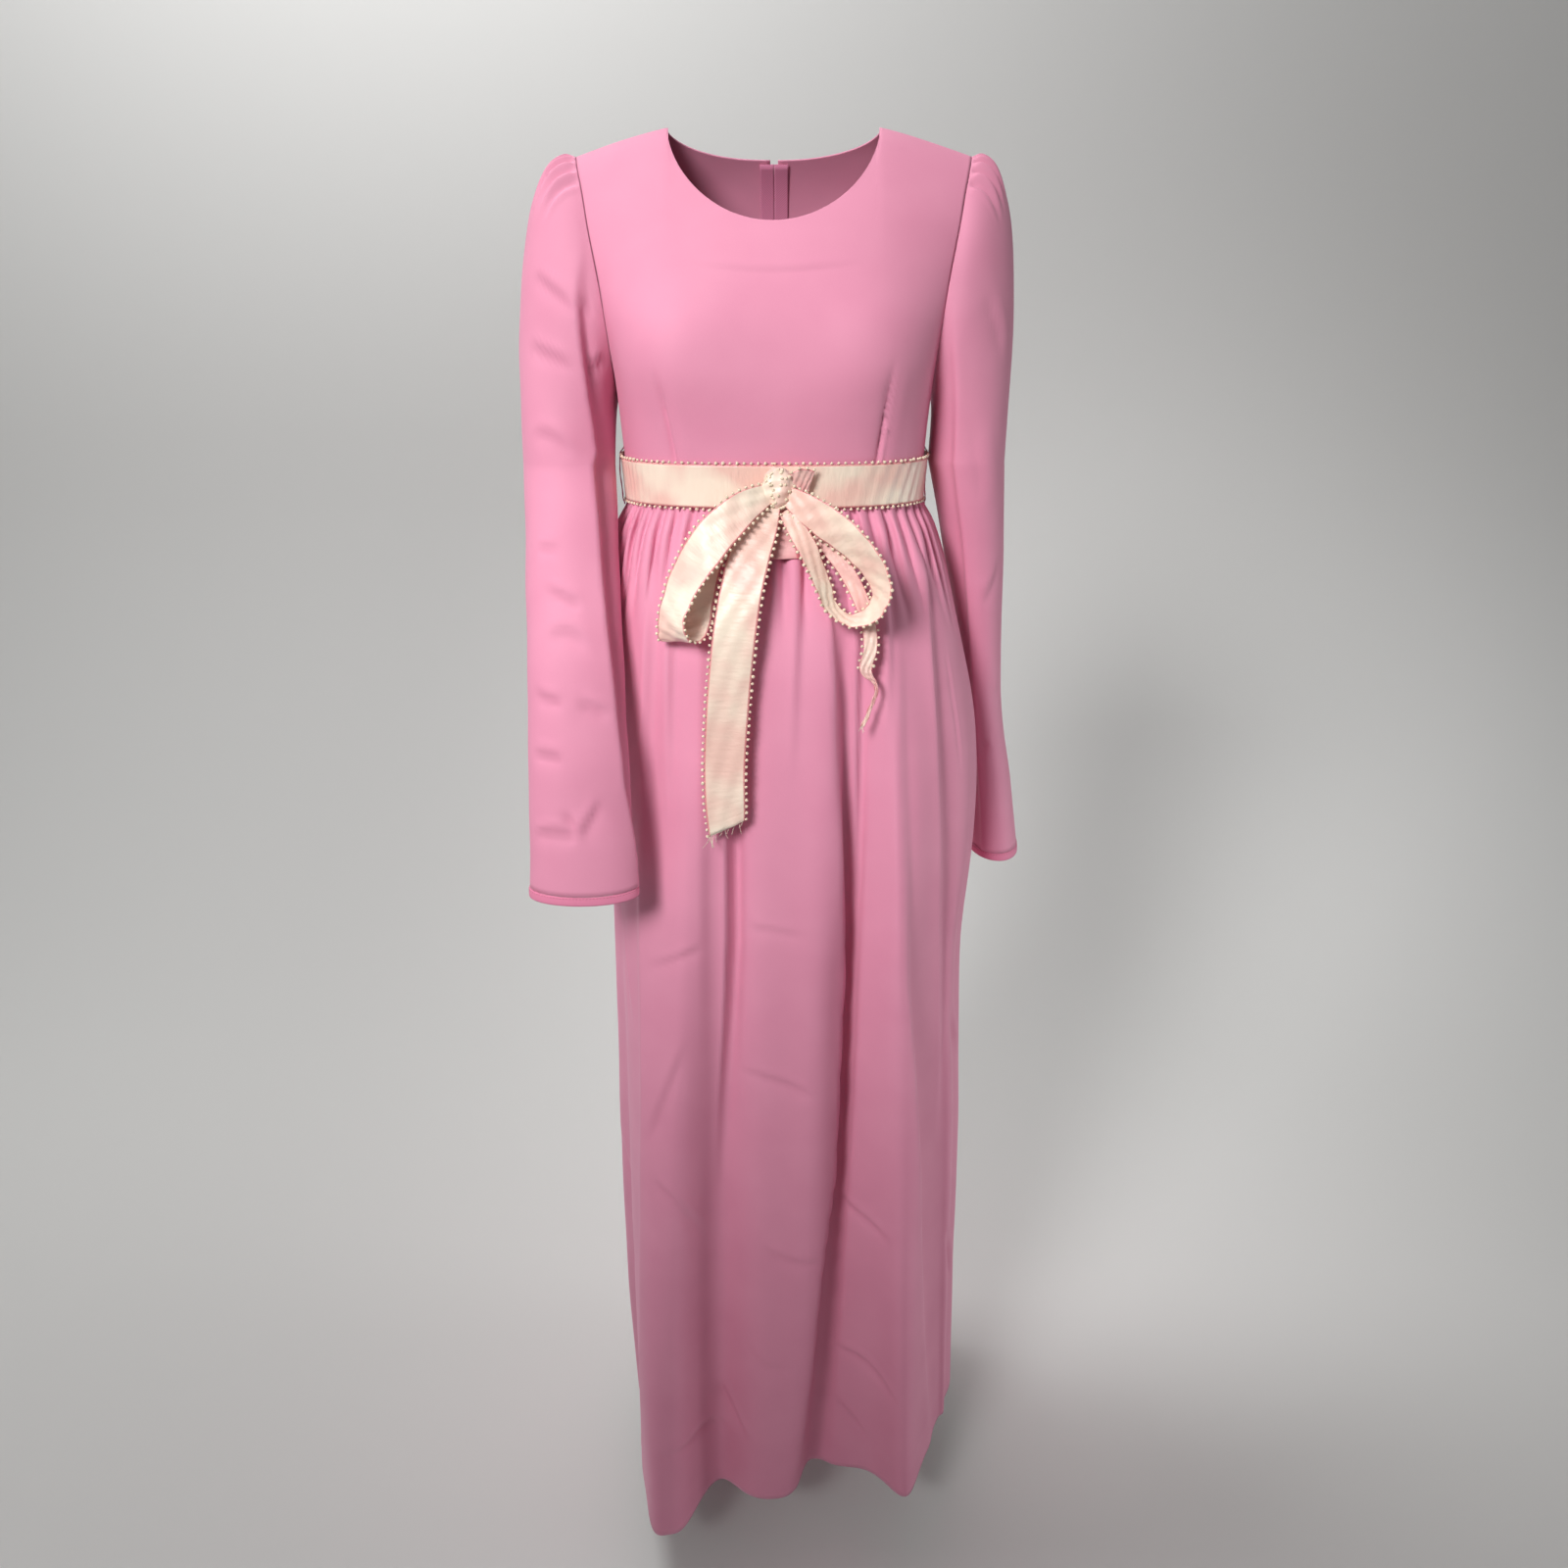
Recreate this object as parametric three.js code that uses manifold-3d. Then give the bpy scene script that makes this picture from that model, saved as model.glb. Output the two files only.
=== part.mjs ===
// A maxi dress: a fitted bodice with a high waist, long puffed sleeves, a gathered skirt to the
// floor and a satin ribbon belt tied in a bow. Every cloth piece is a thin wall on a garment surface.
//
// Millimetres, +Z up. The origin is midway between the points where the shoulder seams meet the
// neckline. The front faces -Y, and +X is the wearer's left. Angles are in degrees round the body,
// from 0 at the centre front through 90 at the wearer's left side to 180 at the centre back.
// A "drop" is a distance below the shoulder line.
import * as THREE from "three";
import { mergeVertices } from "three/addons/utils/BufferGeometryUtils.js";
import Module from "manifold-3d";

const wasm = await Module();
wasm.setup();

// ---------------------------------------------------------------- driving sizes

const CLOTH = 1.2; // wall of the crepe
const SATIN = 1.0; // wall of the ribbon
const SEAM = 0.3; // gap left between two sewn pieces
const TOP = 0.004; // drop at which the shoulder seam's two edges stand a seam apart

const WAIST = 312; // drop of the raised waist seam
const HEM = 1386; // drop of the skirt's hem
const NECK = { half: 93, front: 80, back: 22, roundness: 1.15, turns: [0, 14, 28, 42, 55, 68, 90] };
const SHOULDER = { half: 175, fall: 23, curve: 1.15, level: 200 };
const BUST = { apart: 92, drop: 184, wide: 46, tall: 44, full: 9 };

const GATHERS = { front: 28, back: 24, atSeam: 0.6, most: 3.2, mostAt: 26, gone: 130 };
const GATHER_SWELL = { slow: 0.3, slowTurns: 0.31, quick: 0.2, quickTurns: 0.83 };
const ZIP_FLAT = { none: 8, full: 15 }; // degrees from the centre back, over which gathers begin
const FOLD_SIDE = { from: 52, to: 84 }; // degrees over which folds turn from fore-and-aft to sideways
const SKIRT_ROWS = [0.15, 8, 20, 38, 66, 105, 165, 250, 360, 490, 640, 790, 940, 1074];

const CAP = { gathers: 9, reach: 52, depth: 2.2, gone: 0.45 };
// How the cloth leaves the armhole (out, fore and aft, up) and arrives at the ring under the arm.
const CAP_FLOW = { outUnder: 16, aside: 34, upUnder: -34, arriveUnder: 60, arriveOver: 200 };
const CAP_MIDDLE = { x: 150, z: -130 }; // the point the cap's gathers stand away from
const CUFF_HEM = { high: 8, thick: 1.8, out: 0.3 };

const BELT = { top: 278, foot: 316.5, out: 3.8, columns: 48 };
const KNOT = { x: 4, y: -114.2, z: -298, half: 14.5, deep: 9.6, tall: 19 };
const THREAD_LOOP = { wide: 1.6, thick: 1.2, top: 271, foot: 325, rise: 6 };

const ZIP = { gap: 3.5, foot: 520, tape: 13, below: 24, under: 0.5, at: 36 };
const SLIDER = { wide: 5.4, long: 8.4, high: 2.6, ear: 0.9, bar: 0.6, axis: 2.3 };
const TAB = { eye: 1.9, bore: 1.0, thick: 1.8, long: 19, wide: 4.6, plate: 1.3 };

// ---------------------------------------------------------------- short tables

// A table is rows of numbers under named columns, the first column being the key.
const table = (names, rows) => ({ names: names.split(" "), rows });

// The torso's rings. Half width, depths in front of and behind the shoulder line, and how square
// the front and back halves are (2 is an ellipse).
const TORSO = table("drop half front back squareFront squareBack", [
  [0, 236, 0, 0, 2.3, 2.3],
  [4, 234, 9, 10, 2.3, 2.3],
  [20, 228, 28, 30, 2.3, 2.3],
  [50, 212, 51, 54, 2.4, 2.3],
  [80, 192, 71, 68, 2.5, 2.3],
  [120, 172, 92, 78, 2.7, 2.3],
  [160, 157, 106, 84, 2.9, 2.3],
  [200, 148, 112, 87, 2.9, 2.3],
  [225, 145.2, 111, 87, 2.8, 2.3],
  [280, 141.5, 102, 85, 2.6, 2.3],
  [312, 139.5, 99, 84, 2.5, 2.3],
  [340, 139, 98.5, 84, 2.5, 2.3],
]);

// How far out from the centre the armhole's edge lies, by drop.
const ARMHOLE = table("drop edge", [
  [0, 175],
  [37, 167],
  [68, 162],
  [120, 153.5],
  [165, 148],
  [195, 146],
  [223, 145.25],
]);

// The skirt's rings before its folds: half widths to the wearer's right and left, the ring's middle
// on Y, and the depths in front of and behind that middle.
const SKIRT = table("drop right left middle front back squareFront squareBack", [
  [312, 139.5, 139.5, 0, 99, 84, 2.5, 2.3],
  [320, 140, 140, 0, 99.8, 84.6, 2.5, 2.3],
  [345, 150, 151, -1, 113, 92, 2.45, 2.25],
  [381, 158, 164, -3, 123, 99, 2.4, 2.2],
  [450, 168, 184, -6, 133, 108, 2.4, 2.15],
  [540, 169, 203, -9, 139, 116, 2.4, 2.1],
  [650, 168, 207, -11, 145, 124, 2.45, 2.05],
  [780, 169, 199, -12, 152, 133, 2.5, 2.05],
  [1000, 171, 207, -12, 163, 146, 2.6, 2.05],
  [1200, 170, 211, -12, 175, 156, 2.7, 2.1],
  [1386, 163, 216, -12, 186, 162, 2.8, 2.1],
]);

// The skirt's hanging folds: the angle at the top and at the hem, the spread in degrees towards the
// wearer's right and left, how far it stands out (or in, if negative) at the hem, the drop where it
// starts, how soon it deepens (bend) and how late it swings to its place at the hem (swing).
const FOLDS = table("top hem right left out start bend swing", [
  [-39, -47, 11.5, 11.5, 88, 560, 1.15, 1],
  [-27, -34, 7, 7, 34, 430, 1.0, 1],
  [-13, -21, 7.5, 7.5, -18, 380, 0.9, 1],
  [-2, -4, 8, 8, 4, 400, 1.0, 1],
  [19.5, 10.5, 4.5, 9, -44, 350, 0.55, 2.6],
  [26, 24, 9, 9, -26, 380, 1.3, 1],
  [36, 38, 6.5, 5, 30, 350, 0.8, 1],
  [50, 54, 9, 9, -34, 430, 0.8, 1],
  [68, 71, 8, 8, -10, 400, 0.8, 1],
  [-64, -66, 8, 8, -12, 450, 0.9, 1],
  [-80, -80, 6, 6, 8, 450, 0.9, 1],
  [108, 110, 9, 9, -22, 360, 0.8, 1],
  [129, 131, 10, 10, 27, 350, 0.8, 1],
  [151, 153, 8, 8, -26, 345, 0.8, 1],
  [171, 173, 8, 8, 20, 560, 0.8, 1],
  [-167, -168, 7, 7, -21, 560, 0.9, 1],
  [-148, -147, 9, 9, 30, 345, 0.8, 1],
  [-126, -125, 8.5, 8.5, -26, 350, 0.8, 1],
  [-106, -105, 9, 9, 16, 380, 0.8, 1],
]);

// The sleeves' rings below the arm: the ring's centre and its half sizes across and fore and aft.
const LEFT_SLEEVE = table("drop x y wide deep", [
  [284, 184.5, 8, 36, 52],
  [366, 198, 24, 30, 49],
  [447, 209, 38, 23.5, 46],
  [520, 217.5, 49, 21, 44],
  [574, 224.5, 52, 21.5, 44],
  [628, 232.5, 52, 23.5, 46],
  [702, 240, 48, 26.5, 49],
]);
const RIGHT_SLEEVE = table("drop x y wide deep", [
  [284, 190.5, -36, 42, 46],
  [366, 186, -76, 43, 40],
  [447, 182, -114, 44, 36],
  [530, 179, -144, 46, 31],
  [600, 177, -163, 48, 28.5],
  [658, 176, -178, 50.5, 27],
]);
const SLEEVES = {
  left: { side: 1, rings: LEFT_SLEEVE, shoulder: 172, rise: 34 },
  right: { side: -1, rings: RIGHT_SLEEVE, shoulder: 190, rise: 30 },
};

// The ribbon pieces of the bow. Each row is a station along the ribbon: its centre, its width, the
// angle of its width from +X towards +Z, and how far that width turns towards the front.
const STATION = "x y z width lean turn";
const BOW = {
  bow_loop_right: table(STATION, [
    [-2, -116, -300, 16, -60, 0],
    [-26, -132, -312, 28, -52, 8],
    [-54, -144, -338, 36, -40, 22],
    [-77, -149, -372, 38, -24, 42],
    [-89, -152, -402, 38, -8, 52],
    [-89, -150, -421, 38, 2, 40],
    [-82, -143, -427, 38, 4, 22],
    [-76, -138, -416, 38, 3, 8],
    [-72, -134, -392, 38, 0, 0],
    [-62, -129, -360, 34, -8, 0],
    [-38, -119.5, -330, 28, -30, 0],
    [-6, -113, -303, 14, -50, 0],
  ]),
  bow_loop_left: table(STATION, [
    [8, -116, -301, 14, 62, 0],
    [28, -127, -313, 26, 56, 14],
    [52, -136, -329, 34, 50, 30],
    [76, -144, -349, 36, 40, 44],
    [91, -149, -371, 33, 16, 56],
    [93, -150, -389, 27, -8, 60],
    [84, -148, -403, 20, -60, 58],
    [67, -145, -408, 15, -95, 55],
    [51, -143, -397, 16, -140, 52],
    [42, -141, -375, 20, -172, 46],
    [29, -135, -346, 20, -160, 34],
    [11, -120, -316, 14, -150, 10],
  ]),
  bow_tail_long: table(STATION, [
    [0, -114, -308, 12, 0, 0],
    [-9, -126, -326, 26, -10, 0],
    [-21, -139, -352, 36, -12, 8],
    [-29, -150, -385, 37, -8, 8],
    [-35, -157, -422, 38, -3, 0],
    [-41, -161, -480, 38, -2, -4],
    [-45, -164, -545, 37, -2, 4],
    [-43.5, -166, -598, 37, 26, 0],
  ]),
  bow_tail_narrow: table(STATION, [
    [12, -112, -306, 8, 60, 0],
    [25, -116.5, -321, 12, 55, 0],
    [42, -122, -340, 14, 50, 0],
    [66, -130, -370, 14, 40, 0],
    [82, -137, -405, 13, 10, 0],
    [86, -143, -432, 12, 0, 0],
    [82, -146, -452, 11, 8, 0],
    [88, -147, -461, 5, 60, 0],
    [92, -148, -470, 3, 20, 0],
    [87, -148, -488, 3, -20, 0],
    [80, -148, -505, 3, -12, 0],
  ]),
  bow_end_short: table(STATION, [
    [-2, -110, -305, 12, 0, 0],
    [-5, -112, -318, 32, 0, 0],
    [-9, -116, -332, 54, 0, 0],
    [-10, -126, -358, 66, 2, 0],
  ]),
  bow_fold: table(STATION, [
    [8, -115, -296, 12, 84, 0],
    [19, -115.5, -293, 23, 82, 10],
    [27, -113, -292, 22, 78, 8],
    [33, -110.5, -292, 18, 74, 0],
  ]),
};

// ---------------------------------------------------------------- small maths

const sin = (angle) => Math.sin(THREE.MathUtils.degToRad(angle));
const cos = (angle) => Math.cos(THREE.MathUtils.degToRad(angle));
const degrees = (radians) => THREE.MathUtils.radToDeg(radians);
const smooth = (from, to, value) => THREE.MathUtils.smoothstep(value, from, to);
const mix = THREE.MathUtils.lerp;
const bump = (distance, spread) => Math.exp(-((distance / spread) ** 2));

// The numbers from..to in a count of equal steps.
const steps = (from, to, count) =>
  Array.from({ length: count + 1 }, (_, i) => from + ((to - from) * i) / count);

// One row of a table at any key, by a smooth curve through its rows. keyOf may stretch the key.
function at({ names, rows }, key, keyOf = (value) => value) {
  const x = keyOf(THREE.MathUtils.clamp(key, rows[0][0], rows[rows.length - 1][0]));
  const keys = rows.map((row) => keyOf(row[0]));
  let i = 0;
  while (i < rows.length - 2 && x > keys[i + 1]) i += 1;
  const slope = (j, column) => {
    const before = Math.max(j - 1, 0);
    const after = Math.min(j + 1, rows.length - 1);
    return (rows[after][column] - rows[before][column]) / (keys[after] - keys[before]);
  };
  const span = keys[i + 1] - keys[i];
  const t = (x - keys[i]) / span;
  const result = {};
  names.forEach((name, column) => {
    result[name] =
      rows[i][column] * (1 + 2 * t) * (1 - t) ** 2 +
      rows[i + 1][column] * t * t * (3 - 2 * t) +
      slope(i, column) * span * t * (1 - t) ** 2 +
      slope(i + 1, column) * span * t * t * (t - 1);
  });
  return result;
}

// A point of a rounded-square ring: x is across, y is towards the back.
function ringPoint(angle, half, front, back, squareFront, squareBack) {
  const ahead = cos(angle) > 0;
  const square = ahead ? squareFront : squareBack;
  const s = Math.abs(sin(angle));
  const c = Math.abs(cos(angle));
  const reach = (s ** square + c ** square) ** (-1 / square);
  const x = Math.sign(sin(angle)) * s * reach * half;
  const y = c * reach * (ahead ? -front : back);
  return new THREE.Vector3(x, y, 0);
}

// The angle from the centre at which such a ring is a given distance out, 90 at most.
function ringAngle(distance, half, square) {
  const part = (distance / half) ** square;
  return part >= 1 ? 90 : degrees(Math.atan((part / (1 - part)) ** (1 / square)));
}

// The outward normal of a surface(a, b), where b runs down and a runs round to the left.
function normalAt(surface, a, b, facing) {
  const step = 0.01;
  const across = surface(a + step, b).sub(surface(a - step, b));
  const along = surface(a, b + step).sub(surface(a, b - step));
  return along.cross(across).normalize().multiplyScalar(facing);
}

// ---------------------------------------------------------------- garment surfaces

// The bodice: rings that hang from the sloping shoulder line and level out below it.
function torso(angle, drop) {
  const ring = at(TORSO, Math.max(drop, 0), Math.sqrt);
  const p = ringPoint(angle, ring.half, ring.front, ring.back, ring.squareFront, ring.squareBack);
  const out = Math.abs(p.x);
  if (p.y < 0) {
    p.y -= BUST.full * bump(out - BUST.apart, BUST.wide) * bump(drop - BUST.drop, BUST.tall);
  }
  const slope = (out - NECK.half) / (SHOULDER.half - NECK.half);
  const fall = SHOULDER.fall * Math.max(slope, 0) ** SHOULDER.curve;
  p.z = -drop - fall * (1 - smooth(0, SHOULDER.level, drop));
  return p;
}

// How strongly the gathers show a distance below the waist seam.
function gatherDepth(below) {
  const grown = mix(GATHERS.atSeam, GATHERS.most, smooth(0, GATHERS.mostAt, below));
  return grown * (1 - smooth(GATHERS.mostAt, GATHERS.gone, below));
}

// The gathers' wave: uneven, and flat beside the zip.
function gatherWave(angle) {
  const count = Math.abs(angle) < 90 ? GATHERS.front : GATHERS.back;
  const { slow, slowTurns, quick, quickTurns } = GATHER_SWELL;
  const uneven = 1 + slow * Math.sin(angle * slowTurns) + quick * Math.sin(angle * quickTurns + 1);
  const beside = smooth(ZIP_FLAT.none, ZIP_FLAT.full, 180 - Math.abs(angle));
  return Math.cos((Math.PI * count * (angle + 90)) / 90) * uneven * beside;
}

// The skirt: its rings, pushed out and in by the hanging folds and the gathers.
function skirt(angle, drop) {
  const ring = at(SKIRT, drop);
  const turned = angle > 180 ? angle - 360 : angle;
  const half = turned > 0 ? ring.left : ring.right;
  const p = ringPoint(turned, half, ring.front, ring.back, ring.squareFront, ring.squareBack);
  let push = gatherDepth(drop - WAIST) * gatherWave(turned);
  FOLDS.rows.forEach(([top, hem, right, left, out, start, bend, swing]) => {
    const down = THREE.MathUtils.clamp((drop - start) / (HEM - start), 0, 1);
    const middle = mix(top, hem, down ** swing);
    const away = THREE.MathUtils.euclideanModulo(turned - middle + 180, 360) - 180;
    push += out * down ** bend * smooth(0, 0.16, down) * bump(away, away < 0 ? right : left);
  });
  const sideways = smooth(FOLD_SIDE.from, FOLD_SIDE.to, 90 - Math.abs(90 - Math.abs(turned)));
  const direction = new THREE.Vector3(
    Math.sign(turned) * sideways,
    (Math.abs(turned) < 90 ? -1 : 1) * (1 - sideways),
    0,
  );
  p.addScaledVector(direction.normalize(), push);
  p.y += ring.middle;
  p.z = -drop;
  return p;
}

const dress = (angle, drop) => (drop < WAIST ? torso(angle, drop) : skirt(angle, drop));

// The angle of the armhole's edge on the front (ahead) or the back of the bodice.
function armholeAngle(drop, ahead) {
  const ring = at(TORSO, Math.max(drop, 0), Math.sqrt);
  const { edge } = at(ARMHOLE, Math.max(drop, 0));
  const square = ahead ? ring.squareFront : ring.squareBack;
  return drop >= ARMHOLE.rows.at(-1)[0] ? 90 : ringAngle(edge, ring.half, square);
}

// A sleeve. The angle goes round the arm from the outside (0) over the front (90); b is 0 to 1 over
// the cap, from the armhole to under the arm, and 1 to 2 on down to the cuff.
function sleeve({ side, rings, shoulder, rise }) {
  const low = ARMHOLE.rows.at(-1)[0];
  const first = rings.rows[0][0];
  const last = rings.rows.at(-1)[0];
  const ringAt = (angle, drop) => {
    const ring = at(rings, drop);
    const x = side * (ring.x + ring.wide * cos(angle));
    return new THREE.Vector3(x, ring.y - ring.deep * sin(angle), -drop);
  };
  return (angle, b) => {
    if (b >= 1) return ringAt(angle, mix(first, last, b - 1));
    const over = (1 + cos(angle)) / 2;
    const drop = Math.max(low * (1 - over), TOP);
    const ahead = sin(angle) > 0;
    const edge = armholeAngle(drop, ahead);
    const start = torso(side * (ahead ? edge : 180 - edge), drop);
    start.x += side * SEAM;
    const end = ringAt(angle, first);
    const leave = new THREE.Vector3(
      side * mix(CAP_FLOW.outUnder, shoulder, over ** 1.2),
      -CAP_FLOW.aside * sin(angle),
      mix(CAP_FLOW.upUnder, rise, over),
    );
    const arrive = new THREE.Vector3(
      0,
      (rings.rows[1][2] - rings.rows[0][2]) * 0.8,
      -mix(CAP_FLOW.arriveUnder, CAP_FLOW.arriveOver, over),
    );
    const t = Math.max(b, 0);
    const p = start.multiplyScalar((1 + 2 * t) * (1 - t) ** 2);
    p.addScaledVector(leave, t * (1 - t) ** 2);
    p.addScaledVector(end, t * t * (3 - 2 * t));
    p.addScaledVector(arrive, t * t * (t - 1));
    const around = angle > 180 ? angle - 360 : angle;
    const top = 1 - smooth(CAP.reach * 0.7, CAP.reach, Math.abs(around));
    const fading = smooth(0, 0.05, t) * (1 - smooth(0.12, CAP.gone, t));
    const wave = Math.cos((Math.PI * CAP.gathers * around) / CAP.reach);
    const away = p.clone().sub(new THREE.Vector3(side * CAP_MIDDLE.x, 0, CAP_MIDDLE.z)).normalize();
    return p.addScaledVector(away, CAP.depth * wave * top * fading);
  };
}

// A ribbon along its stations: a runs across its width from -0.5 to 0.5, b counts the stations.
function ribbon(stations) {
  const numbered = table(`station ${stations.names.join(" ")}`, []);
  numbered.rows = stations.rows.map((row, i) => [i, ...row]);
  return (a, b) => {
    const s = at(numbered, b);
    return new THREE.Vector3(
      s.x + a * s.width * cos(s.lean) * cos(s.turn),
      s.y - a * s.width * sin(s.turn),
      s.z + a * s.width * sin(s.lean) * cos(s.turn),
    );
  };
}

// ---------------------------------------------------------------- solids

// A closed cloth wall on a surface. rows holds rows of [a, b] places; the outer face stands `out`
// off the surface and the inner face a thickness behind it. A closed wall joins its row ends.
function wall(surface, rows, options = {}) {
  const { out = 0, thick = CLOTH, closed = false, facing = 1 } = options;
  const points = [];
  [out, out - thick].forEach((height) => {
    rows.flat().forEach(([a, b]) => {
      points.push(surface(a, b).addScaledVector(normalAt(surface, a, b, facing), height));
    });
  });
  const across = rows[0].length;
  const behind = rows.length * across;
  const index = [];
  const quad = (p, q, r, s) => index.push(p, q, r, p, r, s);
  const end = (p, q) => quad(q, p, p + behind, q + behind);
  const spans = closed ? across : across - 1;
  rows.forEach((_, j) => {
    const start = j * across;
    for (let i = 0; i < spans; i += 1) {
      const p = start + i;
      const q = start + ((i + 1) % across);
      if (j === 0) end(p, q);
      if (j === rows.length - 1) {
        end(q, p);
      } else {
        quad(p, q, q + across, p + across);
        quad(q + behind, p + behind, p + across + behind, q + across + behind);
      }
    }
    if (!closed && j < rows.length - 1) {
      end(start + across, start);
      end(start + across - 1, start + 2 * across - 1);
    }
  });
  const geometry = new THREE.BufferGeometry().setFromPoints(points);
  geometry.setIndex(signedVolume(points, index) < 0 ? index.reverse() : index);
  return geometry;
}

function signedVolume(points, index) {
  let six = 0;
  for (let i = 0; i < index.length; i += 3) {
    const [p, q, r] = index.slice(i, i + 3).map((k) => points[k]);
    six += p.dot(q.clone().cross(r));
  }
  return six / 6;
}

// A geometry as a solid for joining and cutting, and back again.
function solidOf(geometry, matrix = new THREE.Matrix4()) {
  const bare = geometry.clone().deleteAttribute("normal").deleteAttribute("uv");
  const merged = mergeVertices(bare.applyMatrix4(matrix), 1e-4);
  const vertProperties = merged.attributes.position.array;
  const triVerts = new Uint32Array(merged.index.array);
  return new wasm.Manifold(new wasm.Mesh({ numProp: 3, vertProperties, triVerts }));
}

function geometryOf(solid) {
  const { vertProperties, triVerts } = solid.getMesh();
  const position = new THREE.BufferAttribute(new Float32Array(vertProperties), 3);
  const indexed = new THREE.BufferGeometry().setAttribute("position", position);
  return indexed.setIndex(new THREE.BufferAttribute(new Uint32Array(triVerts), 1));
}

// ---------------------------------------------------------------- finishes

const finish = (color, roughness, metalness = 0) =>
  new THREE.MeshStandardMaterial({ color, roughness, metalness, side: THREE.DoubleSide });
const crepe = () => finish("#ee9cc0", 0.85);
const satin = () => finish("#f3dccb", 0.4);
const thread = () => finish("#e892b4", 0.8);
const nickel = () => finish("#c9c9c6", 0.3, 1);

const root = new THREE.Group();
function add(name, geometry, material, parent = root) {
  const mesh = new THREE.Mesh(geometry, material);
  mesh.name = name;
  parent.add(mesh);
}

// ---------------------------------------------------------------- bodice

// Where the neckline's edge is: its drop at a share of the quarter turn from the centre.
function neckline(turn, depth) {
  return { out: NECK.half * sin(turn), drop: Math.max(depth * cos(turn) ** NECK.roundness, TOP) };
}

// The columns of a bodice half, from the centre to the armhole: each has the drop of its top edge
// and its share of the way from the centre to the armhole.
function bodiceColumns(ahead) {
  const depth = ahead ? NECK.front : NECK.back;
  const share = (out, drop) => {
    const ring = at(TORSO, drop, Math.sqrt);
    const square = ahead ? ring.squareFront : ring.squareBack;
    return ringAngle(out, ring.half, square) / armholeAngle(drop, ahead);
  };
  const neck = NECK.turns.map((turn) => {
    const { out, drop } = neckline(turn, depth);
    return { top: drop, share: share(out, drop) };
  });
  const corner = neck.at(-1).share;
  const shoulder = steps(corner, 1, 4).slice(1);
  return [...neck, ...shoulder.map((part) => ({ top: TOP, share: part }))];
}

// The drops of a bodice column's rows, closer together at its top.
const bodiceDrops = (top) => steps(0, 1, 12).map((down) => mix(top, WAIST - SEAM / 2, down ** 1.5));

// Rows down a bodice half. edgeAngle(drop) is the half's angle at the armhole or side seam, and
// centreAngle(drop) its angle at the centre.
function bodiceRows(columns, centreAngle, edgeAngle) {
  return steps(0, 12, 12).map((row) =>
    columns.map(({ top, share }) => {
      const drop = bodiceDrops(top)[row];
      return [mix(centreAngle(drop), edgeAngle(drop), share), drop];
    }),
  );
}

// The small angle that leaves half a seam at the side, where the cloth is `depth` from the middle.
const sideSeam = (depth) => degrees(SEAM / 2 / depth);

function bodiceEdge(drop, ahead) {
  const edge = armholeAngle(drop, ahead);
  const { front, back } = at(TORSO, drop, Math.sqrt);
  return edge < 90 ? edge : 90 - sideSeam(ahead ? front : back);
}

// The angle from the centre back at which the zip's opening, or the seam below it, leaves cloth.
function zipAngle(drop, half) {
  const gap = mix(ZIP.gap, SEAM / 2, smooth(ZIP.foot, ZIP.foot + 30, drop));
  return degrees(gap / half);
}

const frontHalf = bodiceColumns(true);
const mirrored = frontHalf.slice(1).reverse().map(({ top, share }) => ({ top, share: -share }));
const frontEdge = (drop) => bodiceEdge(drop, true);
add("bodice_front", wall(torso, bodiceRows([...mirrored, ...frontHalf], () => 0, frontEdge)), crepe());

Object.entries({ left: 1, right: -1 }).forEach(([name, side]) => {
  const centre = (drop) => side * (180 - zipAngle(drop, at(TORSO, drop, Math.sqrt).half));
  const edge = (drop) => side * (180 - bodiceEdge(drop, false));
  const rows = bodiceRows(bodiceColumns(false), centre, edge);
  add(`bodice_back_${name}`, wall(torso, rows), crepe());
});

// ---------------------------------------------------------------- skirt

// Rows of a skirt panel between two angles, given at each drop, with two columns to a gather.
function skirtRows(from, to, gathers) {
  return SKIRT_ROWS.map((below) => {
    const drop = WAIST + below;
    return steps(from(drop), to(drop), 2 * gathers).map((angle) => [angle, drop]);
  });
}

const skirtSide = (drop, ahead) => {
  const ring = at(SKIRT, drop);
  return sideSeam(ahead ? ring.front : ring.back);
};
const leftFront = (drop) => 90 - skirtSide(drop, true);
const frontPanel = skirtRows((drop) => -leftFront(drop), leftFront, GATHERS.front);
add("skirt_front", wall(skirt, frontPanel), crepe());

Object.entries({ left: 1, right: -1 }).forEach(([name, side]) => {
  const centre = (drop) => side * (180 - zipAngle(drop, at(SKIRT, drop)[name]));
  const edge = (drop) => side * (90 + skirtSide(drop, false));
  add(`skirt_back_${name}`, wall(skirt, skirtRows(edge, centre, GATHERS.back / 2)), crepe());
});

// ---------------------------------------------------------------- sleeves

// Places round the arm: two to a gather over the top of the cap, and wider apart below.
const overCap = steps(-CAP.reach, CAP.reach, 2 * CAP.gathers);
const underArm = steps(CAP.reach, 360 - CAP.reach, 13).slice(1, -1);
const roundArm = [...overCap, ...underArm];
const SLEEVE_ROWS = [0, 0.06, 0.14, 0.25, 0.4, 0.58, 0.78, 1, 1.18, 1.36, 1.54, 1.71, 1.87];

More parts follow.
